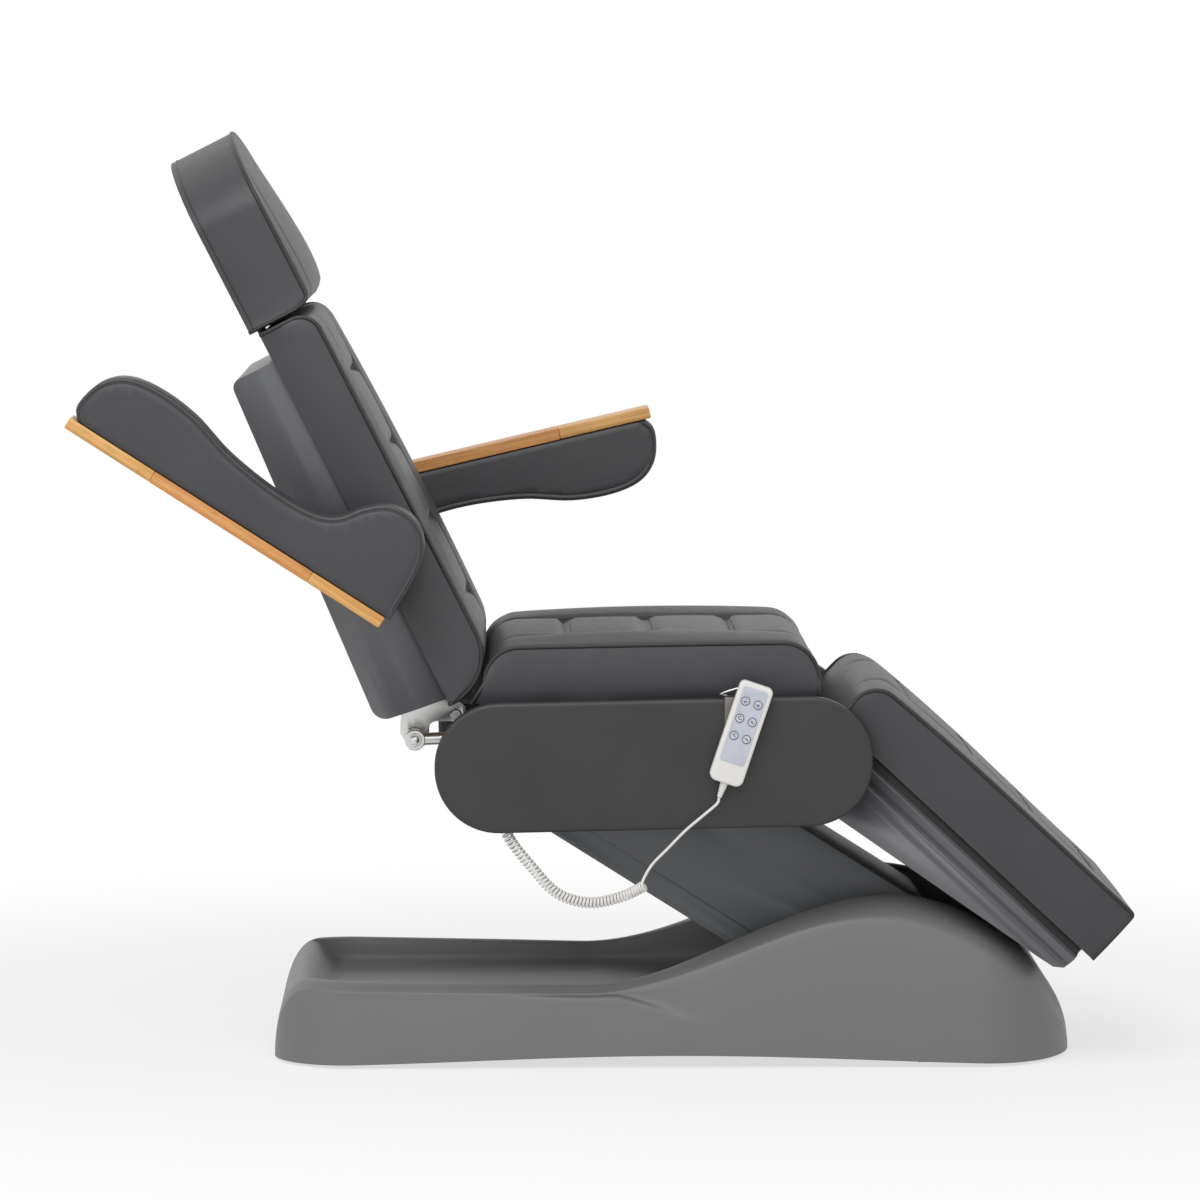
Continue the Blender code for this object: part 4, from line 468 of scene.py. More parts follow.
def addStitches(name, form, place, body, pitch=0.006):
    made = bmesh.new()
    runs = [[(seam + 0.007, -form["band"] + 0.006 + pitch * k) for k in range(int((2 * form["band"] - 0.012) / pitch))] for seam in form["seams"]]
    count = int((form["length"] - form["rearRadius"] - form["frontRadius"]) / pitch)
    runs += [[(form["rearRadius"] + pitch * k, side * (form["band"] + 0.008)) for k in range(count)] for side in (-1, 1)]
    for run in runs:
        for (a, b), (c, d) in zip(run, run[1:]):
            first, last = cushionPoint(form, a, b, 1), cushionPoint(form, c, d, 1)
            ahead = (last - first).normalized()
            turn = ahead.to_track_quat("X", "Z").to_matrix().to_4x4()
            size = Matrix.Diagonal(((last - first).length * 0.62, 0.0009, 0.0009, 1))
            bmesh.ops.create_cube(made, size=1.0, matrix=Matrix.Translation((first + last) / 2 + Vector((0, 0, 0.0002))) @ turn @ size)
    addPiece(f"{name}_stitches", toMesh(made, name, place), body, thread, 30)


seatForm = {
    "length": 0.501, "width": 0.580, "thick": 0.083, "rearRadius": 0.050, "frontRadius": 0.054, "lean": 0.018, "rise": 0.008,
    "taper": 0.0, "arch": 0.0, "crown": 0.003, "crownPower": 1.0, "endSwell": (0.0, 0.0), "edge": 0.007, "band": 0.155,
    "bolster": 0.011, "seams": (0.1255, 0.2505, 0.3755), "seamDepth": 0.010, "seamWidth": 0.0065, "puff": 0.004, "pull": 0.004,
    "swell": 0.004, "creases": 1.6, "step": 0.0095,
}
seatPlace = seatFrame @ Matrix.Translation((-0.179, 0, 0.0953))
backForm = dict(
    seatForm, length=0.596, thick=0.084, rearRadius=0.075, frontRadius=0.030, lean=0.0, rise=0.0, crown=0.004, bolster=0.008,
    seams=(0.1085, 0.2335, 0.3585, 0.4835), creases=0.4, endSwell=(0.0, 0.005),
)
backPlace = backFrame @ Matrix.Translation((0.004, 0, 0.028)) @ standing
legForm = dict(
    seatForm, length=0.509, thick=0.091, rearRadius=0.036, frontRadius=0.005, lean=0.0, rise=0.0, taper=0.008, crown=0.007,
    crownPower=0.4, bolster=0.0015, seams=(0.067, 0.192, 0.317, 0.442), seamDepth=0.006, puff=0.002, creases=0.5,
)
legPlace = legFrame @ Matrix.Translation((-0.004, 0, 0.020))
headForm = dict(                                      # one cover over the foam and its board
    seatForm, length=0.270, width=0.540, thick=0.1013, rearRadius=0.024, frontRadius=0.0, lean=0.0, rise=0.0, arch=0.110,
    crown=0.020, crownPower=0.5, endSwell=(0.007, 0.0), band=0.215, bolster=0.001, seams=(), seamDepth=0.003, puff=0.0, creases=0.3,
)
headPlace = headFrame @ Matrix.Translation((-0.009, 0, -0.004)) @ standing
for name, form, place, body in (
    ("seat_cushion", seatForm, seatPlace, "seat"),
    ("back_cushion", backForm, backPlace, "back"),
    ("leg_cushion", legForm, legPlace, "leg"),
    ("head_cushion", headForm, headPlace, "head"),
):
    hidden = [name] if name != "head_cushion" else [name, "head_board"]
    piece = addPiece(name + "_upholstery", cushionMesh(name, form, place), body, vinylSkin, 75, hidden)
    addPiping(name, form, place, body)
    if form["seams"]:
        addStitches(name, form, place, body)
    print(name, "upholstered")
# the thin seam tube takes the piping's painted seam shade, a dark line where the panel is sewn on
for side, label in ((-1, "right"), (1, "left")):      # where the headrest's rear panel is sewn on
    path = [headPlace @ p for p in pipingPath(headForm, side, 0.0, 0.09)]
    addPiece("head_seam_" + label, tubeMesh(path, 0.0010), "head", pipingSeamShade, 60)


# small shapes that the rigid pieces are put together from
def addShape(made, shape, place=Matrix.Identity(4)):
    bmesh.ops.remove_doubles(shape, verts=shape.verts[:], dist=1e-6)
    holder = toMesh(shape, "shape", place)
    made.from_mesh(holder)
    bpy.data.meshes.remove(holder)


def barShape(low, high, edge, segments=3):
    shape = bmesh.new()
    low, high = Vector(low), Vector(high)
    bmesh.ops.create_cube(shape, size=1.0, matrix=Matrix.Translation((low + high) / 2) @ Matrix.Diagonal((*(high - low), 1)))
    bmesh.ops.bevel(shape, geom=shape.edges[:], offset=edge, segments=segments, profile=0.5, affect="EDGES", material=-1)
    return shape


def turnedShape(profile, steps=40):
    shape = bmesh.new()
    line = [shape.verts.new((along, 0, radius)) for along, radius in profile]
    edges = [shape.edges.new(pair) for pair in zip(line, line[1:])]
    bmesh.ops.spin(shape, geom=line + edges, cent=(0, 0, 0), axis=(1, 0, 0), angle=2 * math.pi, steps=steps, use_merge=True)
    return shape


def pinProfile(start, end, radius, chamfer):
    return [(start, 0), (start, radius - chamfer), (start + chamfer, radius), (end - chamfer, radius), (end, radius - chamfer), (end, 0)]


def plateShape(outline, low, high):
    shape = bmesh.new()
    face = shape.faces.new([shape.verts.new((x, low, z)) for x, z in outline])
    grown = bmesh.ops.extrude_face_region(shape, geom=[face], use_keep_orig=True)
    bmesh.ops.translate(shape, vec=(0, high - low, 0), verts=[v for v in grown["geom"] if isinstance(v, bmesh.types.BMVert)])
    bmesh.ops.recalc_face_normals(shape, faces=shape.faces[:])
    return shape


def roundRim(shape, level, edge, segments=4):
    rim = [e for e in shape.edges if all(abs(v.co.y - level) < 1e-6 for v in e.verts)]
    bmesh.ops.bevel(shape, geom=rim, offset=edge, segments=segments, profile=0.5, affect="EDGES", material=-1)


def roundedOutline(corners, steps=8):
    points = []
    for i, (x, z, radius) in enumerate(corners):
        corner = Vector((x, z))
        before = (Vector(corners[i - 1][:2]) - corner).normalized()
        after = (Vector(corners[(i + 1) % len(corners)][:2]) - corner).normalized()
        half = before.angle(after) / 2
        reach = radius / math.tan(half)
        middle = corner + (before + after).normalized() * radius / math.sin(half)
        first = corner + before * reach - middle
        turn = first.angle_signed(corner + after * reach - middle)
        for step in range(steps + 1):
            angle = -turn * step / steps
            points.append((middle.x + first.x * math.cos(angle) - first.y * math.sin(angle), middle.y + first.x * math.sin(angle) + first.y * math.cos(angle)))
    return points


# pads cut from a flat outline: rolled rim, a sewn line inside it and a soft crown, flat where they meet the wood
def lineGap(point, a, b):
    run = b - a
    share = min(1.0, max(0.0, (point - a).dot(run) / run.length_squared))
    return (point - a - run * share).length


def padMesh(name, form, outline, place, flatLevel=None):
    half = (form["outer"] - form["inner"]) / 2
    shape = plateShape(outline, -half, half)
    ends = [f for f in shape.faces if abs(f.normal.y) > 0.9]
    reached = 0.0
    for gap in form["rings"]:
        for face in ends:
            bmesh.ops.inset_region(shape, faces=[face], thickness=gap - reached, use_even_offset=True, use_boundary=True)
        reached = gap
    xs, zs = [p[0] for p in outline], [p[1] for p in outline]
    cuts = [((form["step"] * k, 0, 0), (1, 0, 0)) for k in range(math.ceil(min(xs) / form["step"]), math.ceil(max(xs) / form["step"]))]
    cuts += [((0, 0, form["step"] * k), (0, 0, 1)) for k in range(math.ceil(min(zs) / form["step"]), math.ceil(max(zs) / form["step"]))]
    if flatLevel is not None:
        cuts += [((0, 0, flatLevel - inset), (0, 0, 1)) for inset in (0.0012, 0.003)]
    for point, normal in cuts:
        bmesh.ops.bisect_plane(shape, geom=shape.verts[:] + shape.edges[:] + shape.faces[:], dist=1e-5, plane_co=point, plane_no=normal)
    if flatLevel is not None:                         # what was drawn past the wood is cut off and closed
        every = shape.verts[:] + shape.edges[:] + shape.faces[:]
        bmesh.ops.bisect_plane(shape, geom=every, dist=1e-5, plane_co=(0, 0, flatLevel), plane_no=(0, 0, 1), clear_outer=True)
        bmesh.ops.edgeloop_fill(shape, edges=[e for e in shape.edges if e.is_boundary])
    corners = [Vector(p) for p in outline]
    lines = list(zip(corners, corners[1:] + corners[:1]))
    for vertex in shape.verts:
        spot = Vector((vertex.co.x, vertex.co.z))
        gap = min(lineGap(spot, a, b) for a, b in lines)
        roll = form["rim"] - math.sqrt(max(0.0, form["rim"] ** 2 - max(0.0, form["rim"] - gap) ** 2))
        if flatLevel is not None:
            roll = max(roll, max(0.0, 0.003 - (flatLevel - spot.y)))
        crown = form["crown"] * (1 - math.exp(-max(0.0, gap - form["rim"]) / 0.03))
        groove = form["groove"] * math.exp(-((gap - form["grooveAt"]) / 0.0016) ** 2)
        vertex.co.y = math.copysign(half - roll + crown - groove, vertex.co.y)
    middle = Matrix.Translation((0, math.copysign((form["inner"] + form["outer"]) / 2, form["side"]), 0))
    return toMesh(shape, name, place @ middle)


def insetLine(outline, distance):
    corners = [Vector(p) for p in outline]
    area = sum(a.x * b.y - b.x * a.y for a, b in zip(corners, corners[1:] + corners[:1]))
    inner = []
    for before, here, after in zip(corners[-1:] + corners[:-1], corners, corners[1:] + corners[:1]):
        ahead = ((here - before).normalized() + (after - here).normalized()).normalized()
        inner.append(here + Vector((-ahead.y, ahead.x)) * math.copysign(distance, area))
    return inner


armPad = {
    "inner": 0.297, "outer": 0.377, "rim": 0.0045, "crown": 0.0014, "groove": 0.0012, "grooveAt": 0.0085, "step": 0.012, "welt": 0.0011,
    "rings": (0.0002, 0.0008, 0.0018, 0.0031, 0.0045, 0.0060, 0.0072, 0.0085, 0.0098, 0.0110),
}
armPadLine = [
    (0.443, 0.058), (0.455, 0.037), (0.445, -0.0055), (0.416, -0.0325), (0.368, -0.042), (0.306, -0.0375), (0.2355, -0.0185),
    (0.157, -0.0095), (0.092, -0.012), (0.0575, -0.0275), (0.0345, -0.057), (0.005, -0.0805), (-0.031, -0.0835), (-0.0615, -0.0665),
    (-0.0795, -0.028), (-0.084, 0.058),
]
armWood = {"rear": -0.076, "front": 0.454, "joints": (0.046, 0.311), "low": 0.0583, "thick": 0.017, "overhang": 0.002, "edge": 0.0022}
armOutline = [tuple(p) for p in smoothRun(armPadLine, 6)]
armOutline = [(0.430, 0.097), *armOutline, (-0.084, 0.097)]      # drawn on past the wood, where padMesh cuts it
for side, label, place, turn in ((-1, "right", armRightFrame, 147.3), (1, "left", armLeftFrame, 13.2)):
    body = "arm_" + label
    mesh = padMesh("arm_pad", dict(armPad, side=side), armOutline, place, armPadLine[0][1])
    pad = addPiece(f"armrest_pad_{label}_upholstery", mesh, body, vinylSkin, 60, ["armrest_pad_" + label])
    welt = [p for p in insetLine(armOutline, 0.0045) if p.y < armPadLine[0][1]]
    # welts take the piping's dark colour, partly painted shade along the sewn line
    for face, level in (("outer", armPad["outer"] - 0.0006), ("inner", armPad["inner"] + 0.0006)):
        path = [place @ Vector((p.x, side * level, p.y)) for p in welt]
        addPiece(f"armrest_welt_{label}_{face}", tubeMesh(path, armPad["welt"]), body, pipingSeamShade, 60)
    near, far = armPad["inner"] - armWood["overhang"], armPad["outer"] + armWood["overhang"]
    low, high = sorted((side * near, side * far))
    ends = [armWood["rear"], *armWood["joints"], armWood["front"]]
    for stave, (start, end) in enumerate(zip(ends, ends[1:])):
        made = bmesh.new()
        first, last = (start + (0.0001 if stave else 0), low, armWood["low"]), (end, high, armWood["low"] + armWood["thick"])
        addShape(made, barShape(first, last, armWood["edge"] if stave != 1 else 0.0006, 4))
        finish = makeOak(f"oiled_oak_{label}_{stave + 1}", turn, oakStaves[stave])
        addPiece(f"armrest_oak_{label}_{stave + 1}", toMesh(made, "oak", place), body, finish, 40, ["armrest_wood_" + label])
print("armrests upholstered")

sidePanel = {
    "inner": 0.302, "outer": 0.324, "rim": 0.006, "crown": 0.0012, "groove": 0.0, "grooveAt": 0.01, "step": 0.014,
    "rings": (0.0003, 0.0012, 0.0025, 0.0041, 0.0060, 0.0090, 0.0140), "length": 0.631, "height": 0.188, "centre": (0.0830, 0, 0.0095), "tilt": -1.2,
}
end, rise = sidePanel["length"] / 2, sidePanel["height"] / 2
panelOutline = roundedOutline([(x, z, 0.98 * rise) for x, z in ((-end, -rise), (end, -rise), (end, rise), (-end, rise))], 24)
panelPlace = seatFrame @ Matrix.Translation(sidePanel["centre"]) @ turnY(sidePanel["tilt"])
for side, label in ((-1, "right"), (1, "left")):
    mesh = padMesh("side_panel", dict(sidePanel, side=side), panelOutline, panelPlace)
    panel = addPiece(f"side_panel_{label}_upholstery", mesh, "seat", vinylPanel, 60, ["side_panel_" + label])
print("side panels upholstered")

# base cover: half sections along the chair, softened, laid on a grid, mirrored and given a wall
baseShell = {
    "halfWidth": 0.280, "rear": -0.479, "front": 0.692, "rearRound": (0.120, 0.120), "frontRound": (0.145, 0.200), "rim": 0.117, "rearRise": 0.008, "tray": 0.080, "trayRear": -0.418,
    "trayFront": 0.560, "rimWidth": 0.045, "humpRise": 0.128, "humpAt": 0.428, "humpStart": -0.020, "edge": 0.004, "arch": 0.014, "wall": 0.004,
    "draft": 0.002, "ledge": 0.013, "ledgeAt": (-0.150, -0.020, 0.200), "ledgeDrop": 0.055, "valley": 0.1760, "slotRear": 0.250, "slotFront": 0.546, "stations": 150,
}


def baseSection(form, x):
    if x <= form["humpAt"]:
        crest = form["rim"] + form["humpRise"] * ramp(x, form["humpStart"], form["humpAt"])
        crest += form["rearRise"] * max(0.0, form["humpStart"] - x) / (form["humpStart"] - form["trayRear"])
    else:
        share = (x - form["humpAt"]) / (form["front"] - form["humpAt"])
        crest = (form["rim"] + form["humpRise"]) * max(0.0, 1 - share ** 1.8) ** 0.55
    rearShare = min(1.0, (x - form["rear"]) / (form["trayRear"] - form["rear"]))
    crest *= math.sqrt(max(0.0, 1 - (1 - rearShare) ** 2.6))
    wide = form["halfWidth"]
    for (radius, narrowing), gap in ((form["rearRound"], x - form["rear"]), (form["frontRound"], form["front"] - x)):
        if gap < radius:
            wide -= narrowing * (1 - math.sqrt(max(0.0, 1 - (1 - gap / radius) ** 2)))
    foot = form["edge"] + form["arch"] * math.sin(math.pi * (x - form["rear"]) / (form["front"] - form["rear"])) ** 2
    crest = max(crest, foot + 0.002)
    drop = (crest - foot) * (0.10 + 0.22 * ramp(x, form["slotRear"], form["front"]))
    shoulder = crest - drop
    narrow = ramp(x, form["humpStart"], form["slotRear"])
    inner = (wide - form["rimWidth"]) * (1 - narrow) + min(form["valley"], wide - 0.02) * narrow
    sunk = ramp(x, form["rear"] + 0.040, form["trayRear"] + 0.030) * (1 - ramp(x, form["slotFront"], form["trayFront"] + 0.060))
    floor = crest - (crest - min(crest, form["tray"])) * sunk - 0.0005
    begins, full, fades = form["ledgeAt"]
    ledge = form["ledge"] * ramp(x, begins, full) * (1 - ramp(x, full + 0.2 * (fades - full), fades))
    low = 0.9 * form["rim"] + 0.004 - form["ledgeDrop"] * ramp(x, full, fades)
    low = max(foot + 0.4 * (shoulder - foot), min(shoulder - 0.004, low))
    wallAt = lambda height: wide - 0.006 * (height - foot) / (shoulder - foot)
    line = [
        (wide, foot), (wallAt(0.5 * (foot + low)), 0.5 * (foot + low)), (wallAt(low - 0.15 * (low - foot)), low - 0.15 * (low - foot)),
        (wallAt(low) - 0.15 * ledge, low), (wallAt(low) - ledge, low + 0.2 * (shoulder - low)),
        (wallAt(shoulder) - ledge, shoulder), (wide - 0.016 - ledge, shoulder + 0.45 * drop),
        ((wide - 0.010 - ledge + inner) / 2, shoulder + 0.85 * drop), (inner, crest), (inner - 0.005, floor + 0.82 * (crest - floor)),
        (inner - 0.007, floor), (0.5 * inner, floor), (0.0, floor),
    ]
    for _ in range(3):                                # each pass cuts every corner of the section once
        points = [Vector(p) for p in line]
        line = [points[0]]
        for a, b in zip(points, points[1:]):
            line += [a.lerp(b, 0.25), a.lerp(b, 0.75)]
        line.append(points[-1])
    return line


def baseMesh(form):
    rear, front, count = form["rear"], form["front"], form["stations"]
    even = [rear + (front - rear) * (0.5 - 0.5 * math.cos(math.pi * k / count)) for k in range(count + 1)]
    for edge in (form["slotRear"], form["slotFront"]):       # a row of the grid falls on each end of the slot
        even[min(range(count + 1), key=lambda k: abs(even[k] - edge))] = edge
    sections = [baseSection(form, x) for x in even]
    across = len(sections[0]) - 1
    made = bmesh.new()
    bmesh.ops.create_grid(made, x_segments=count, y_segments=across, size=1.0)
    for vertex in made.verts:
        i, j = round((vertex.co.x + 1) / 2 * count), round((vertex.co.y + 1) / 2 * across)
        vertex.co = (even[i], *sections[i][j])
    slotHalf = form["valley"] - 0.0070
    slot = [
        f for f in made.faces
        if form["slotRear"] < f.calc_center_median().x < form["slotFront"] and f.calc_center_median().y < slotHalf and f.calc_center_median().z < form["tray"] + 0.002
    ]
    bmesh.ops.delete(made, geom=slot, context="FACES")
    bmesh.ops.mirror(made, geom=made.verts[:] + made.edges[:] + made.faces[:], axis="Y", merge_dist=1e-5)
    bmesh.ops.remove_doubles(made, verts=made.verts[:], dist=1e-5)
    mesh = toMesh(made, "base_shell")
    topFace = max(mesh.polygons, key=lambda p: p.center.z)
    if topFace.normal.z < 0:
        mesh.flip_normals()
    return mesh


def giveWall(piece, thickness, clamp=0.0):
    wall = piece.modifiers.new("wall", "SOLIDIFY")
    wall.thickness = thickness
    wall.offset = -1.0
    wall.thickness_clamp = clamp                      # keeps the wall thin where the rows of the grid run close


giveWall(addPiece("base_shell", baseMesh(baseShell), "base", baseAbs, 50, ["base_cover"]), baseShell["wall"], 1.5)
print("base shell moulded")


# covers of back and leg rest: an outline drawn across the chair, edges rounded, open where the cushion closes it
def coverMesh(form, place):
    shape = plateShape(form["outline"], -form["half"], form["half"])
    for point, normal in form["folds"]:
        bmesh.ops.bisect_plane(shape, geom=shape.verts[:] + shape.edges[:] + shape.faces[:], dist=1e-5, plane_co=point, plane_no=normal)
    for vertex in shape.verts:
        vertex.co.y -= math.copysign(form["inset"](vertex.co), vertex.co.y)
    bmesh.ops.recalc_face_normals(shape, faces=shape.faces[:])
    isOpen = lambda f: any((f.calc_center_median() - Vector(spot)).dot(Vector(way)) > -1e-4 for spot, way in form["open"])
    opened = [f for f in shape.faces if isOpen(f)]
    bmesh.ops.delete(shape, geom=opened, context="FACES")
    hard = [e for e in shape.edges if len(e.link_faces) == 2 and e.calc_face_angle(0) > math.radians(30)]
    bmesh.ops.bevel(shape, geom=hard, offset=form["edge"], segments=5, profile=0.5, affect="EDGES", material=-1, clamp_overlap=True)
    return toMesh(shape, "cover", place)


backCover = {
    "half": 0.280, "edge": 0.011, "fold": 0.019, "foldAt": -0.0215, "foldSlope": 0.033, "foldDeep": 0.052,
    "outline": roundedOutline([(0.0037, 0.036, 0.0005), (0.0037, 0.582, 0.0005), (-0.066, 0.582, 0.014), (-0.103, 0.049, 0.022)], 8),
    "folds": [((-0.0215 + shift, 0, 0.582), (0.9995, 0, -0.033)) for shift in (0.002, -0.002, -0.010, -0.025)],
    "open": [((0.0037, 0, 0), (1, 0, 0)), ((-0.046, 0, 0.0421), (-0.12, 0, -1))],
}


def backInset(co):
    behind = backCover["foldAt"] - backCover["foldSlope"] * (0.582 - co.z) - co.x
    return backCover["fold"] * max(0.0, behind) / backCover["foldDeep"]


backCover["inset"] = backInset
legCover = {
    "half": 0.270, "edge": 0.008, "steps": [(0.0197, 0.016), (0.012, 0.016), (0.008, 0.004), (0.001, 0.001), (-0.006, 0.005), (-0.016, 0.016),
                                            (-0.024, 0.013), (-0.040, 0.004), (-0.055, 0.0), (-0.090, 0.0)],
    "outline": [(0.060, 0.0197), (0.060, -0.086), (0.070, -0.086), (0.476, -0.028), (0.490, -0.018), (0.490, 0.0197)],
    "folds": [((0, 0, 0.018 - 0.002 * k), (0, 0, 1)) for k in range(37)],
    "open": [((0, 0, 0.0197), (0, 0, 1)), ((0.060, 0, 0), (-1, 0, 0))],
}


def legInset(co):
    for (high, before), (low, after) in zip(legCover["steps"], legCover["steps"][1:]):
        if co.z >= low:
            return before + (after - before) * ramp(high - co.z, 0.0, high - low)
    return 0.0


legCover["inset"] = legInset
giveWall(addPiece("back_cover_shell", coverMesh(backCover, backFrame), "back", coverAbs, 24, ["back_cover"]), 0.004)
giveWall(addPiece("leg_cover_shell", coverMesh(legCover, legFrame), "leg", coverAbs, 40, ["leg_cover"]), 0.004)
print("covers moulded")


# flat steel, boards and arms keep their solid's shape, with the edges broken as a press or a router leaves them
def brokenEdges(node, finish, edge, angle=28):
    made = bmesh.new()
    made.from_mesh(frame["nodes"][node].data)
    bmesh.ops.remove_doubles(made, verts=made.verts[:], dist=2e-5)
    bmesh.ops.dissolve_limit(made, angle_limit=math.radians(1.0), verts=made.verts[:], edges=made.edges[:])
    hard = [e for e in made.edges if len(e.link_faces) == 2 and e.calc_face_angle(0) > math.radians(angle)]
    bmesh.ops.bevel(made, geom=hard, offset=edge, segments=2, profile=0.5, affect="EDGES", material=-1, clamp_overlap=True)
    mesh = bpy.data.meshes.new(node)
    made.to_mesh(mesh)
    made.free()
    return addPiece(node + "_finished", mesh, frame["nodes"][node]["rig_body"], finish, 34, [node])


for node, finish, slot, edge in (
    ("lift_arm_front", armAbs, "arm_cover_plastic", 0.0016), ("lift_arm_rear", armAbs, "arm_cover_plastic", 0.0012),
    ("base_plate", paintedSteel, "painted_steel", 0.001), ("base_upright_left", paintedSteel, "painted_steel", 0.0008),
    ("base_upright_right", paintedSteel, "painted_steel", 0.0008), ("seat_cheek_left", paintedSteel, "painted_steel", 0.0008),
    ("seat_cheek_right", paintedSteel, "painted_steel", 0.0008), ("back_plate_left", zincSteel, "zinc_steel", 0.0008),
    ("back_plate_right", zincSteel, "zinc_steel", 0.0008), ("leg_plate_left", zincSteel, "zinc_steel", 0.0008),
    # head_post: black powder coat here is painted shade for the dark gap between the back and the headrest
    ("leg_plate_right", zincSteel, "zinc_steel", 0.0008), ("head_post", paintedSteel, "painted_steel", 0.001),
    # handset_hook: its darkened steel is partly painted shade from behind the handset
    ("handset_hook", dullSteelWithShade, "zinc_steel", 0.0003), ("seat_board", vinylPanel, "board_wood", 0.0015),
    # leg_board: its black finish is painted shade for the gap under the leg cushion
    ("back_board", plywood, "board_wood", 0.0015), ("leg_board", gapShadeBoard, "board_wood", 0.0015),
    ("skid_front", rubberSkin, "skid_rubber", 0.003),
    ("skid_rear", rubberSkin, "skid_rubber", 0.003), ("control_box", motorPlastic, "motor_plastic", 0.001), ("keypad_overlay", filmPolyester, "overlay_film", 0.0003),
):
    brokenEdges(node, finish, edge)
print("steel and boards finished")


# turned steel: shafts, studs and the lever bolt take their place and size from their solids
def nodeAxis(node):
    low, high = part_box(node)
    middle = (low + high) / 2
    return middle, (high.y - low.y) / 2, (high.z - low.z) / 2


alongY = Matrix.Rotation(math.pi / 2, 4, "Z")
for node in ("lift_shaft_lower", "rear_arm_shaft_lower", "lift_shaft_upper", "rear_arm_shaft_upper", "back_hinge_shaft", "leg_hinge_shaft", "arm_stud_left", "arm_stud_right"):
    middle, half, radius = nodeAxis(node)
    made = bmesh.new()
    addShape(made, turnedShape(pinProfile(-half, half, radius, 0.0012)), Matrix.Translation(middle) @ alongY)
    addPiece(node + "_turned", toMesh(made, node), frame["nodes"][node]["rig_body"], zincSteel, 40, [node])

leverBolt = {"shank": 0.006, "washer": 0.0100, "hex": 0.0088, "dome": 0.0066}
middle, half, radius = nodeAxis("lever_bolt")
made = bmesh.new()
addShape(made, turnedShape(pinProfile(-half + 0.003, half - 0.004, leverBolt["shank"], 0.0006)), Matrix.Translation(middle) @ alongY)
for way in (-1, 1):
    facing = Matrix.Translation(middle) @ Matrix.Rotation(way * math.pi / 2, 4, "Z")
    addShape(made, turnedShape(pinProfile(half - 0.0070, half - 0.0055, leverBolt["washer"], 0.0004)), facing)
    addShape(made, turnedShape(pinProfile(half - 0.0055, half - 0.0022, leverBolt["hex"], 0.0006), 6), facing)
dome = [(half - 0.0025 + 0.0025 * math.sin(math.pi * k / 16), leverBolt["dome"] * math.cos(math.pi * k / 16)) for k in range(9)]
addShape(made, turnedShape([(half - 0.0030, 0), (half - 0.0030, leverBolt["dome"]), *dome]), Matrix.Translation(middle) @ Matrix.Rotation(-math.pi / 2, 4, "Z"))
addPiece("lever_bolt_turned", toMesh(made, "lever_bolt"), "back", zincSteel, 30, ["lever_bolt"])


# linear actuators: nylon gear housing in two halves, drawn tube with a guide bush, ground rod with an eye
def lineFrame(fromJoint, toJoint):
    start, end = Vector(joints[fromJoint]["pos_m"]), Vector(joints[toJoint]["pos_m"])
    return Matrix.Translation(start) @ Matrix.Rotation(-math.atan2(end.z - start.z, end.x - start.x), 4, "Y")


tube = {"radius": 0.019, "bore": 0.0155, "rod": 0.009, "bush": 0.0105, "eyeHalf": 0.015}
actuators = {
    "lift": {"housing": (0.065, 0.150), "half": (0.030, 0.022), "tube": 0.190, "rod": 0.260, "eye": 0.016, "side": 0},
    "back": {"housing": (-0.020, 0.075), "half": (0.022, 0.022), "tube": 0.180, "rod": 0.290, "eye": 0.015, "side": -1},
    "leg": {"housing": (-0.020, 0.075), "half": (0.022, 0.022), "tube": 0.160, "rod": 0.250, "eye": 0.015, "side": 1},
}
for name, form in actuators.items():
    place = lineFrame(name + "_motor_tilt", name + "_rod_tilt")
    (start, end), (wide, high) = form["housing"], form["half"]
    made = bmesh.new()
    for low, top in ((-wide, -0.0004), (0.0004, wide)):
        addShape(made, barShape((start, low, -high), (end, top, high), 0.004 if wide < 0.03 else 0.005))
    addShape(made, barShape((start + 0.004, -0.002, -high + 0.002), (end - 0.004, 0.002, high - 0.002), 0.0008))
    for rib in range(4):
        spot = start + 0.022 + 0.014 * rib
        addShape(made, barShape((spot, -wide + 0.004, -high - 0.0004), (spot + 0.005, wide - 0.004, high + 0.0004), 0.0004, 1))
    if form["side"]:
        reach = sorted((form["side"] * (0.1556 - 0.190), -form["side"] * wide / 2))
        addShape(made, turnedShape(pinProfile(*reach, 0.008, 0.0008)), alongY)
    else:
        addShape(made, barShape((0.011, -0.012, -0.009), (start + 0.01, 0.012, 0.009), 0.0015))
        addShape(made, turnedShape(pinProfile(-tube["eyeHalf"], tube["eyeHalf"], form["eye"], 0.001)), alongY)
    addPiece(name + "_motor_housing", toMesh(made, name, place), name + "_motor", motorPlastic, 34, [name + "_motor"])
    made = bmesh.new()
    mouth = end - 0.004 + form["tube"]
    wall = [(end - 0.004, 0), (end - 0.004, tube["radius"]), (mouth - 0.0008, tube["radius"]), (mouth, tube["radius"] - 0.0008), (mouth, tube["bush"])]
    addShape(made, turnedShape(wall + [(mouth - 0.012, tube["bush"]), (mouth - 0.012, 0)]))
    addPiece(name + "_motor_tube", toMesh(made, name, place), name + "_motor", zincSteel, 34)
    back = lineFrame(name + "_rod_tilt", name + "_motor_tilt")
    made = bmesh.new()
    addShape(made, turnedShape(pinProfile(0.6 * form["eye"], form["rod"], tube["rod"], 0.001)))
    addShape(made, turnedShape(pinProfile(-tube["eyeHalf"], tube["eyeHalf"], form["eye"], 0.001)), alongY)
    if name == "leg":
        addShape(made, turnedShape(pinProfile(0.1647 - 0.190, 0, 0.006, 0.0006)), alongY)
    addPiece(name + "_rod_ground", toMesh(made, name, back), name + "_rod", zincSteel, 34, [name + "_rod"])
print("actuators built")

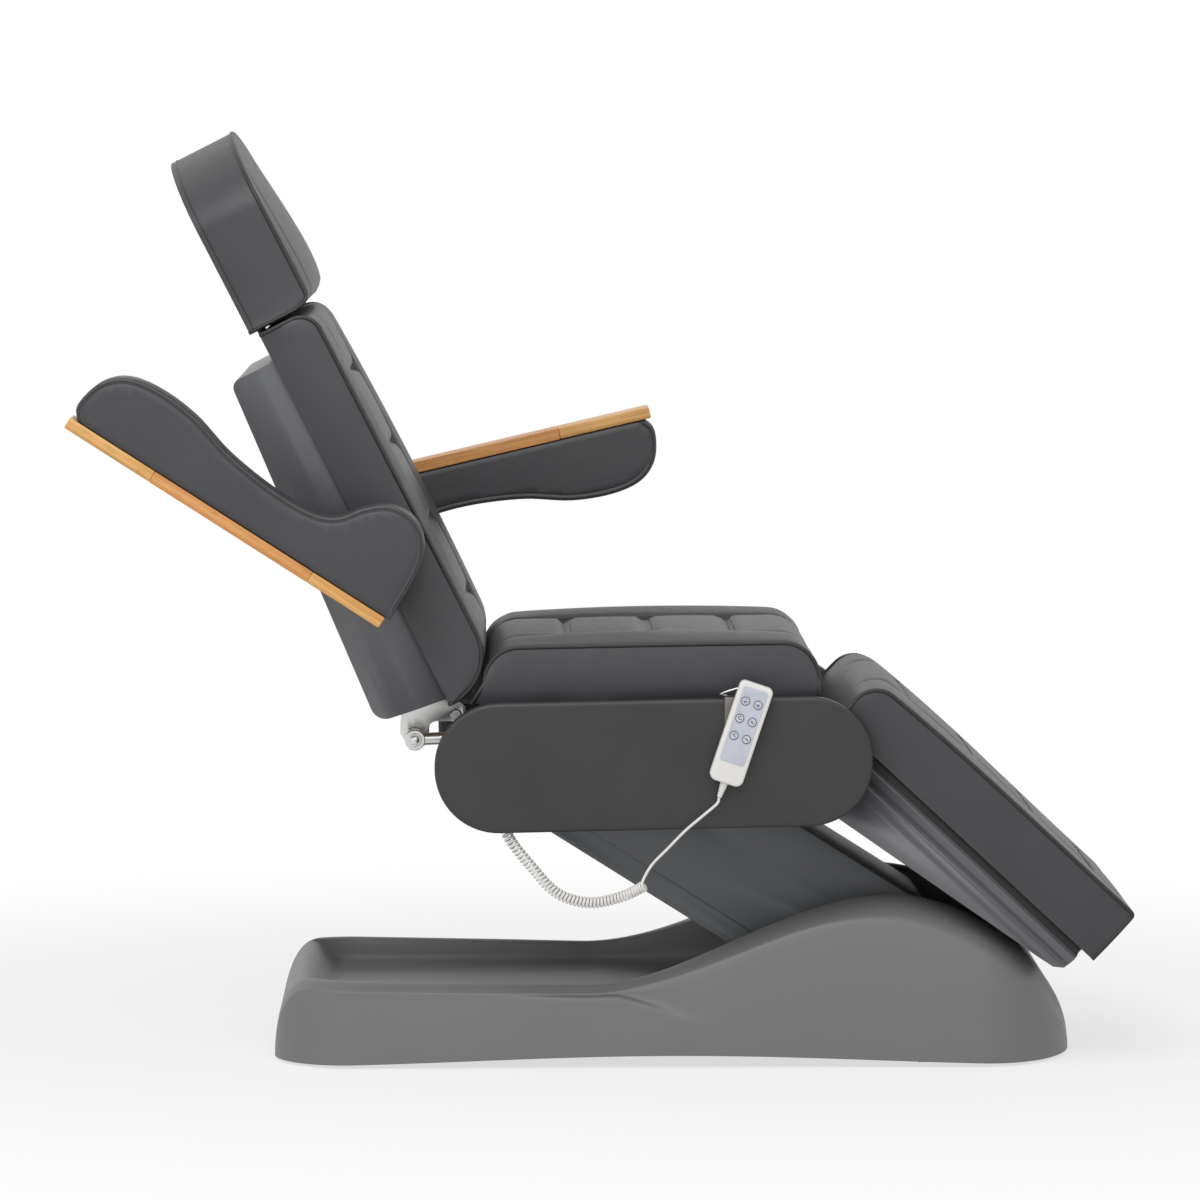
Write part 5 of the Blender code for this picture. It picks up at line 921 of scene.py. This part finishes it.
# handset: two case halves with a parting line, printed membrane, six keys with plain signs, ribbed boot
handset = {
    "half": 0.025, "rise": 0.075, "deep": 0.011, "key": 0.0065, "keyX": 0.0095, "keyZ": (0.047, 0.021, -0.005),
    "face": 0.0129, "ink": 0.0010, "boot": (0.0750, 0.0973), "bootRadius": (0.0062, 0.0036), "ribs": 6,
}
wide, tall = handset["half"], handset["rise"]
caseOutline = roundedOutline([(-wide, -tall, 0.011), (wide, -tall, 0.011), (wide, tall, 0.0085), (-wide, tall, 0.0085)], 8)
frontHalf = plateShape(caseOutline, -handset["deep"], -0.0003)
roundRim(frontHalf, -handset["deep"], 0.0034)
rearHalf = plateShape(caseOutline, 0.0003, handset["deep"])
roundRim(rearHalf, handset["deep"], 0.0040)
for label, half in (("front", frontHalf), ("rear", rearHalf)):
    made = bmesh.new()
    addShape(made, half, handsetFrame)
    if label == "rear":
        addShape(made, plateShape([(0.985 * x, 0.995 * z) for x, z in caseOutline], -0.0015, 0.0015), handsetFrame)
    addPiece(f"handset_shell_{label}", toMesh(made, label), "seat", handsetAbs, 34, ["handset_case_" + label])


def strokeShape(a, b, width, face):
    a, b = Vector((a[0] / 1000, 0, a[1] / 1000)), Vector((b[0] / 1000, 0, b[1] / 1000))
    shape = barShape((0, -0.0002, -width / 2), ((b - a).length, 0.0002, width / 2), 0.00008, 1)
    shape.transform(Matrix.Translation(a + Vector((0, -face, 0))) @ Matrix.Rotation(-math.atan2(b.z - a.z, b.x - a.x), 4, "Y"))
    return shape


# plain signs in millimetres: a couch line for each motion, and an arrow up or down
signs = {
    "lift": [((-3.2, -0.4), (3.2, -0.4)), ((-1.6, -2.4), (1.6, -2.4))],
    "back": [((-0.6, -1.2), (3.2, -1.2)), ((-0.6, -1.2), (-2.8, 1.8))],
    "leg": [((-3.2, 0.6), (0.4, 0.6)), ((0.4, 0.6), (2.8, -2.2))],
}
facing = Matrix.Rotation(-math.pi / 2, 4, "Z")
for row, (motion, lines) in enumerate(signs.items()):
    for column, way in ((-1, "up"), (1, "down")):
        spot = handsetFrame @ Matrix.Translation((column * handset["keyX"], 0, handset["keyZ"][row]))
        made = bmesh.new()
        radius = handset["key"]
        addShape(made, turnedShape([(0.0087, 0), (0.0087, radius), (0.0120, radius), (0.0126, radius - 0.0006), (0.0128, radius - 0.003), (0.0129, 0)]), facing)
        name = f"key_{motion}_{way}"
        addPiece(name + "_cap", toMesh(made, name, spot), name, keyPolyester, 34, [name])
        made = bmesh.new()
        addShape(made, turnedShape([(0.0124, radius - 0.0011), (0.0128, radius - 0.0011), (0.0128, radius - 0.0003), (0.0124, radius - 0.0003), (0.0124, radius - 0.0011)]), facing)
        point = 1.0 if way == "up" else -1.0
        for a, b in lines + [((-1.1, 1.6 + 0.9 * point), (0, 2.2 + 1.2 * point)), ((0, 2.2 + 1.2 * point), (1.1, 1.6 + 0.9 * point))]:
            addShape(made, strokeShape(a, b, handset["ink"], handset["face"]))
        addPiece(name + "_sign", toMesh(made, name, spot), name, printInk, 34)
made = bmesh.new()
(start, end), (first, last) = handset["boot"], handset["bootRadius"]
ribs = [(start, 0), (start, first)]
for k in range(handset["ribs"]):
    for share, lift in ((0.15, 0.0), (0.35, 0.0007), (0.65, 0.0007), (0.85, 0.0)):
        at = (k + share) / handset["ribs"]
        ribs.append((start + (end - start) * at, first + (last - first) * at - 0.0007 + lift))
addShape(made, turnedShape(ribs + [(end, last - 0.0007), (end, 0)], 28), Matrix.Rotation(math.pi / 2, 4, "Y"))
addPiece("handset_boot_ribbed", toMesh(made, "boot", handsetFrame), "seat", handsetAbs, 34, ["handset_boot"])
low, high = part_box("cord_gland")
glandRadius = (high.x - low.x) / 2
gland = [(0, 0), (0, 0.0055), (0.003, glandRadius), (0.014, glandRadius), (0.015, 0.9 * glandRadius), (0.018, 0.9 * glandRadius), (0.019, glandRadius)]
made = bmesh.new()
addShape(made, turnedShape(gland + [(high.z - low.z, glandRadius), (high.z - low.z, 0)]), Matrix.Rotation(-math.pi / 2, 4, "Y"))
glandPlace = Matrix.Translation(((low.x + high.x) / 2, (low.y + high.y) / 2, low.z))
addPiece("cord_gland_turned", toMesh(made, "gland", glandPlace), "seat", motorPlastic, 34, ["cord_gland"])
# bent wire that reaches from the strap over the panel's edge into the back of the handset
hookWire = {
    "radius": 0.0013, "steps": 6,
    "knots": [
        (0.1880, -0.3080, 0.1088), (0.1800, -0.3150, 0.1100), (0.1785, -0.3230, 0.1120), (0.1880, -0.3275, 0.1165),
        (0.2075, -0.3300, 0.1225),
    ],
}
wireLine = [seatFrame @ p for p in smoothRun(hookWire["knots"], hookWire["steps"])]
addPiece("handset_hook_wire", tubeMesh(wireLine, hookWire["radius"]), "seat", zincSteel)
print("handset built")

# pale studio floor, white to the camera, with the chair's soft shadow
studio = {"floor": "#f1f1f1", "floorGlow": 0.68, "sky": 0.58, "boxPower": 60.0, "boxSize": 3.0, "boxAt": (-0.6, -2.3, 2.9)}
floorMaterial, tree, shader = newMaterial("studio_floor", Base_Color=hexColour(studio["floor"]), Roughness=0.95)


def seenRays(tree):
    rays = addNode(tree, "LightPath").outputs
    pair = addNode(tree, "Math", links={0: rays["Is Camera Ray"], 1: rays["Is Glossy Ray"]}, operation="MAXIMUM")
    return addNode(tree, "Math", links={0: pair.outputs[0], 1: rays["Is Transmission Ray"]}, operation="MAXIMUM").outputs[0]


away = addNode(tree, "VectorMath", links={0: addNode(tree, "TexCoord").outputs["Object"]}, operation="LENGTH")
fade = addNode(tree, "MapRange", {"From Min": 0.8, "From Max": 2.4, "To Min": studio["floorGlow"]}, {"Value": away.outputs["Value"]}, interpolation_type="SMOOTHSTEP")
share = addNode(tree, "Math", links={0: seenRays(tree), 1: fade.outputs["Result"]}, operation="MULTIPLY")
glow = addNode(tree, "Emission", {"Strength": 1.0})
mixed = addNode(tree, "MixShader", links={0: share.outputs[0], 1: shader.outputs["BSDF"], 2: glow.outputs["Emission"]})
tree.links.new(mixed.outputs["Shader"], tree.nodes["Material Output"].inputs["Surface"])
made = bmesh.new()
bmesh.ops.create_grid(made, x_segments=8, y_segments=8, size=30.0)
floor = bpy.data.objects.new("studio_floor", toMesh(made, "studio_floor"))
floor.data.materials.append(floorMaterial)
scene.collection.objects.link(floor)

world = bpy.data.worlds.new("studio")
scene.world = world
world.use_nodes = True
tree = world.node_tree
sky = tree.nodes["Background"]
sky.inputs["Color"].default_value = (1.0, 1.0, 1.0, 1.0)
level = addNode(tree, "MapRange", {"To Min": studio["sky"], "To Max": 1.0}, {"Value": seenRays(tree)})
tree.links.new(level.outputs["Result"], sky.inputs["Strength"])
boxData = bpy.data.lights.new("softbox", "AREA")
boxData.size = studio["boxSize"]
boxData.energy = studio["boxPower"]
softbox = bpy.data.objects.new("softbox", boxData)
softbox.location = studio["boxAt"]
softbox.rotation_euler = (Vector((0, 0, 0.6)) - Vector(studio["boxAt"])).to_track_quat("-Z", "Y").to_euler()
scene.collection.objects.link(softbox)
print("studio lit")
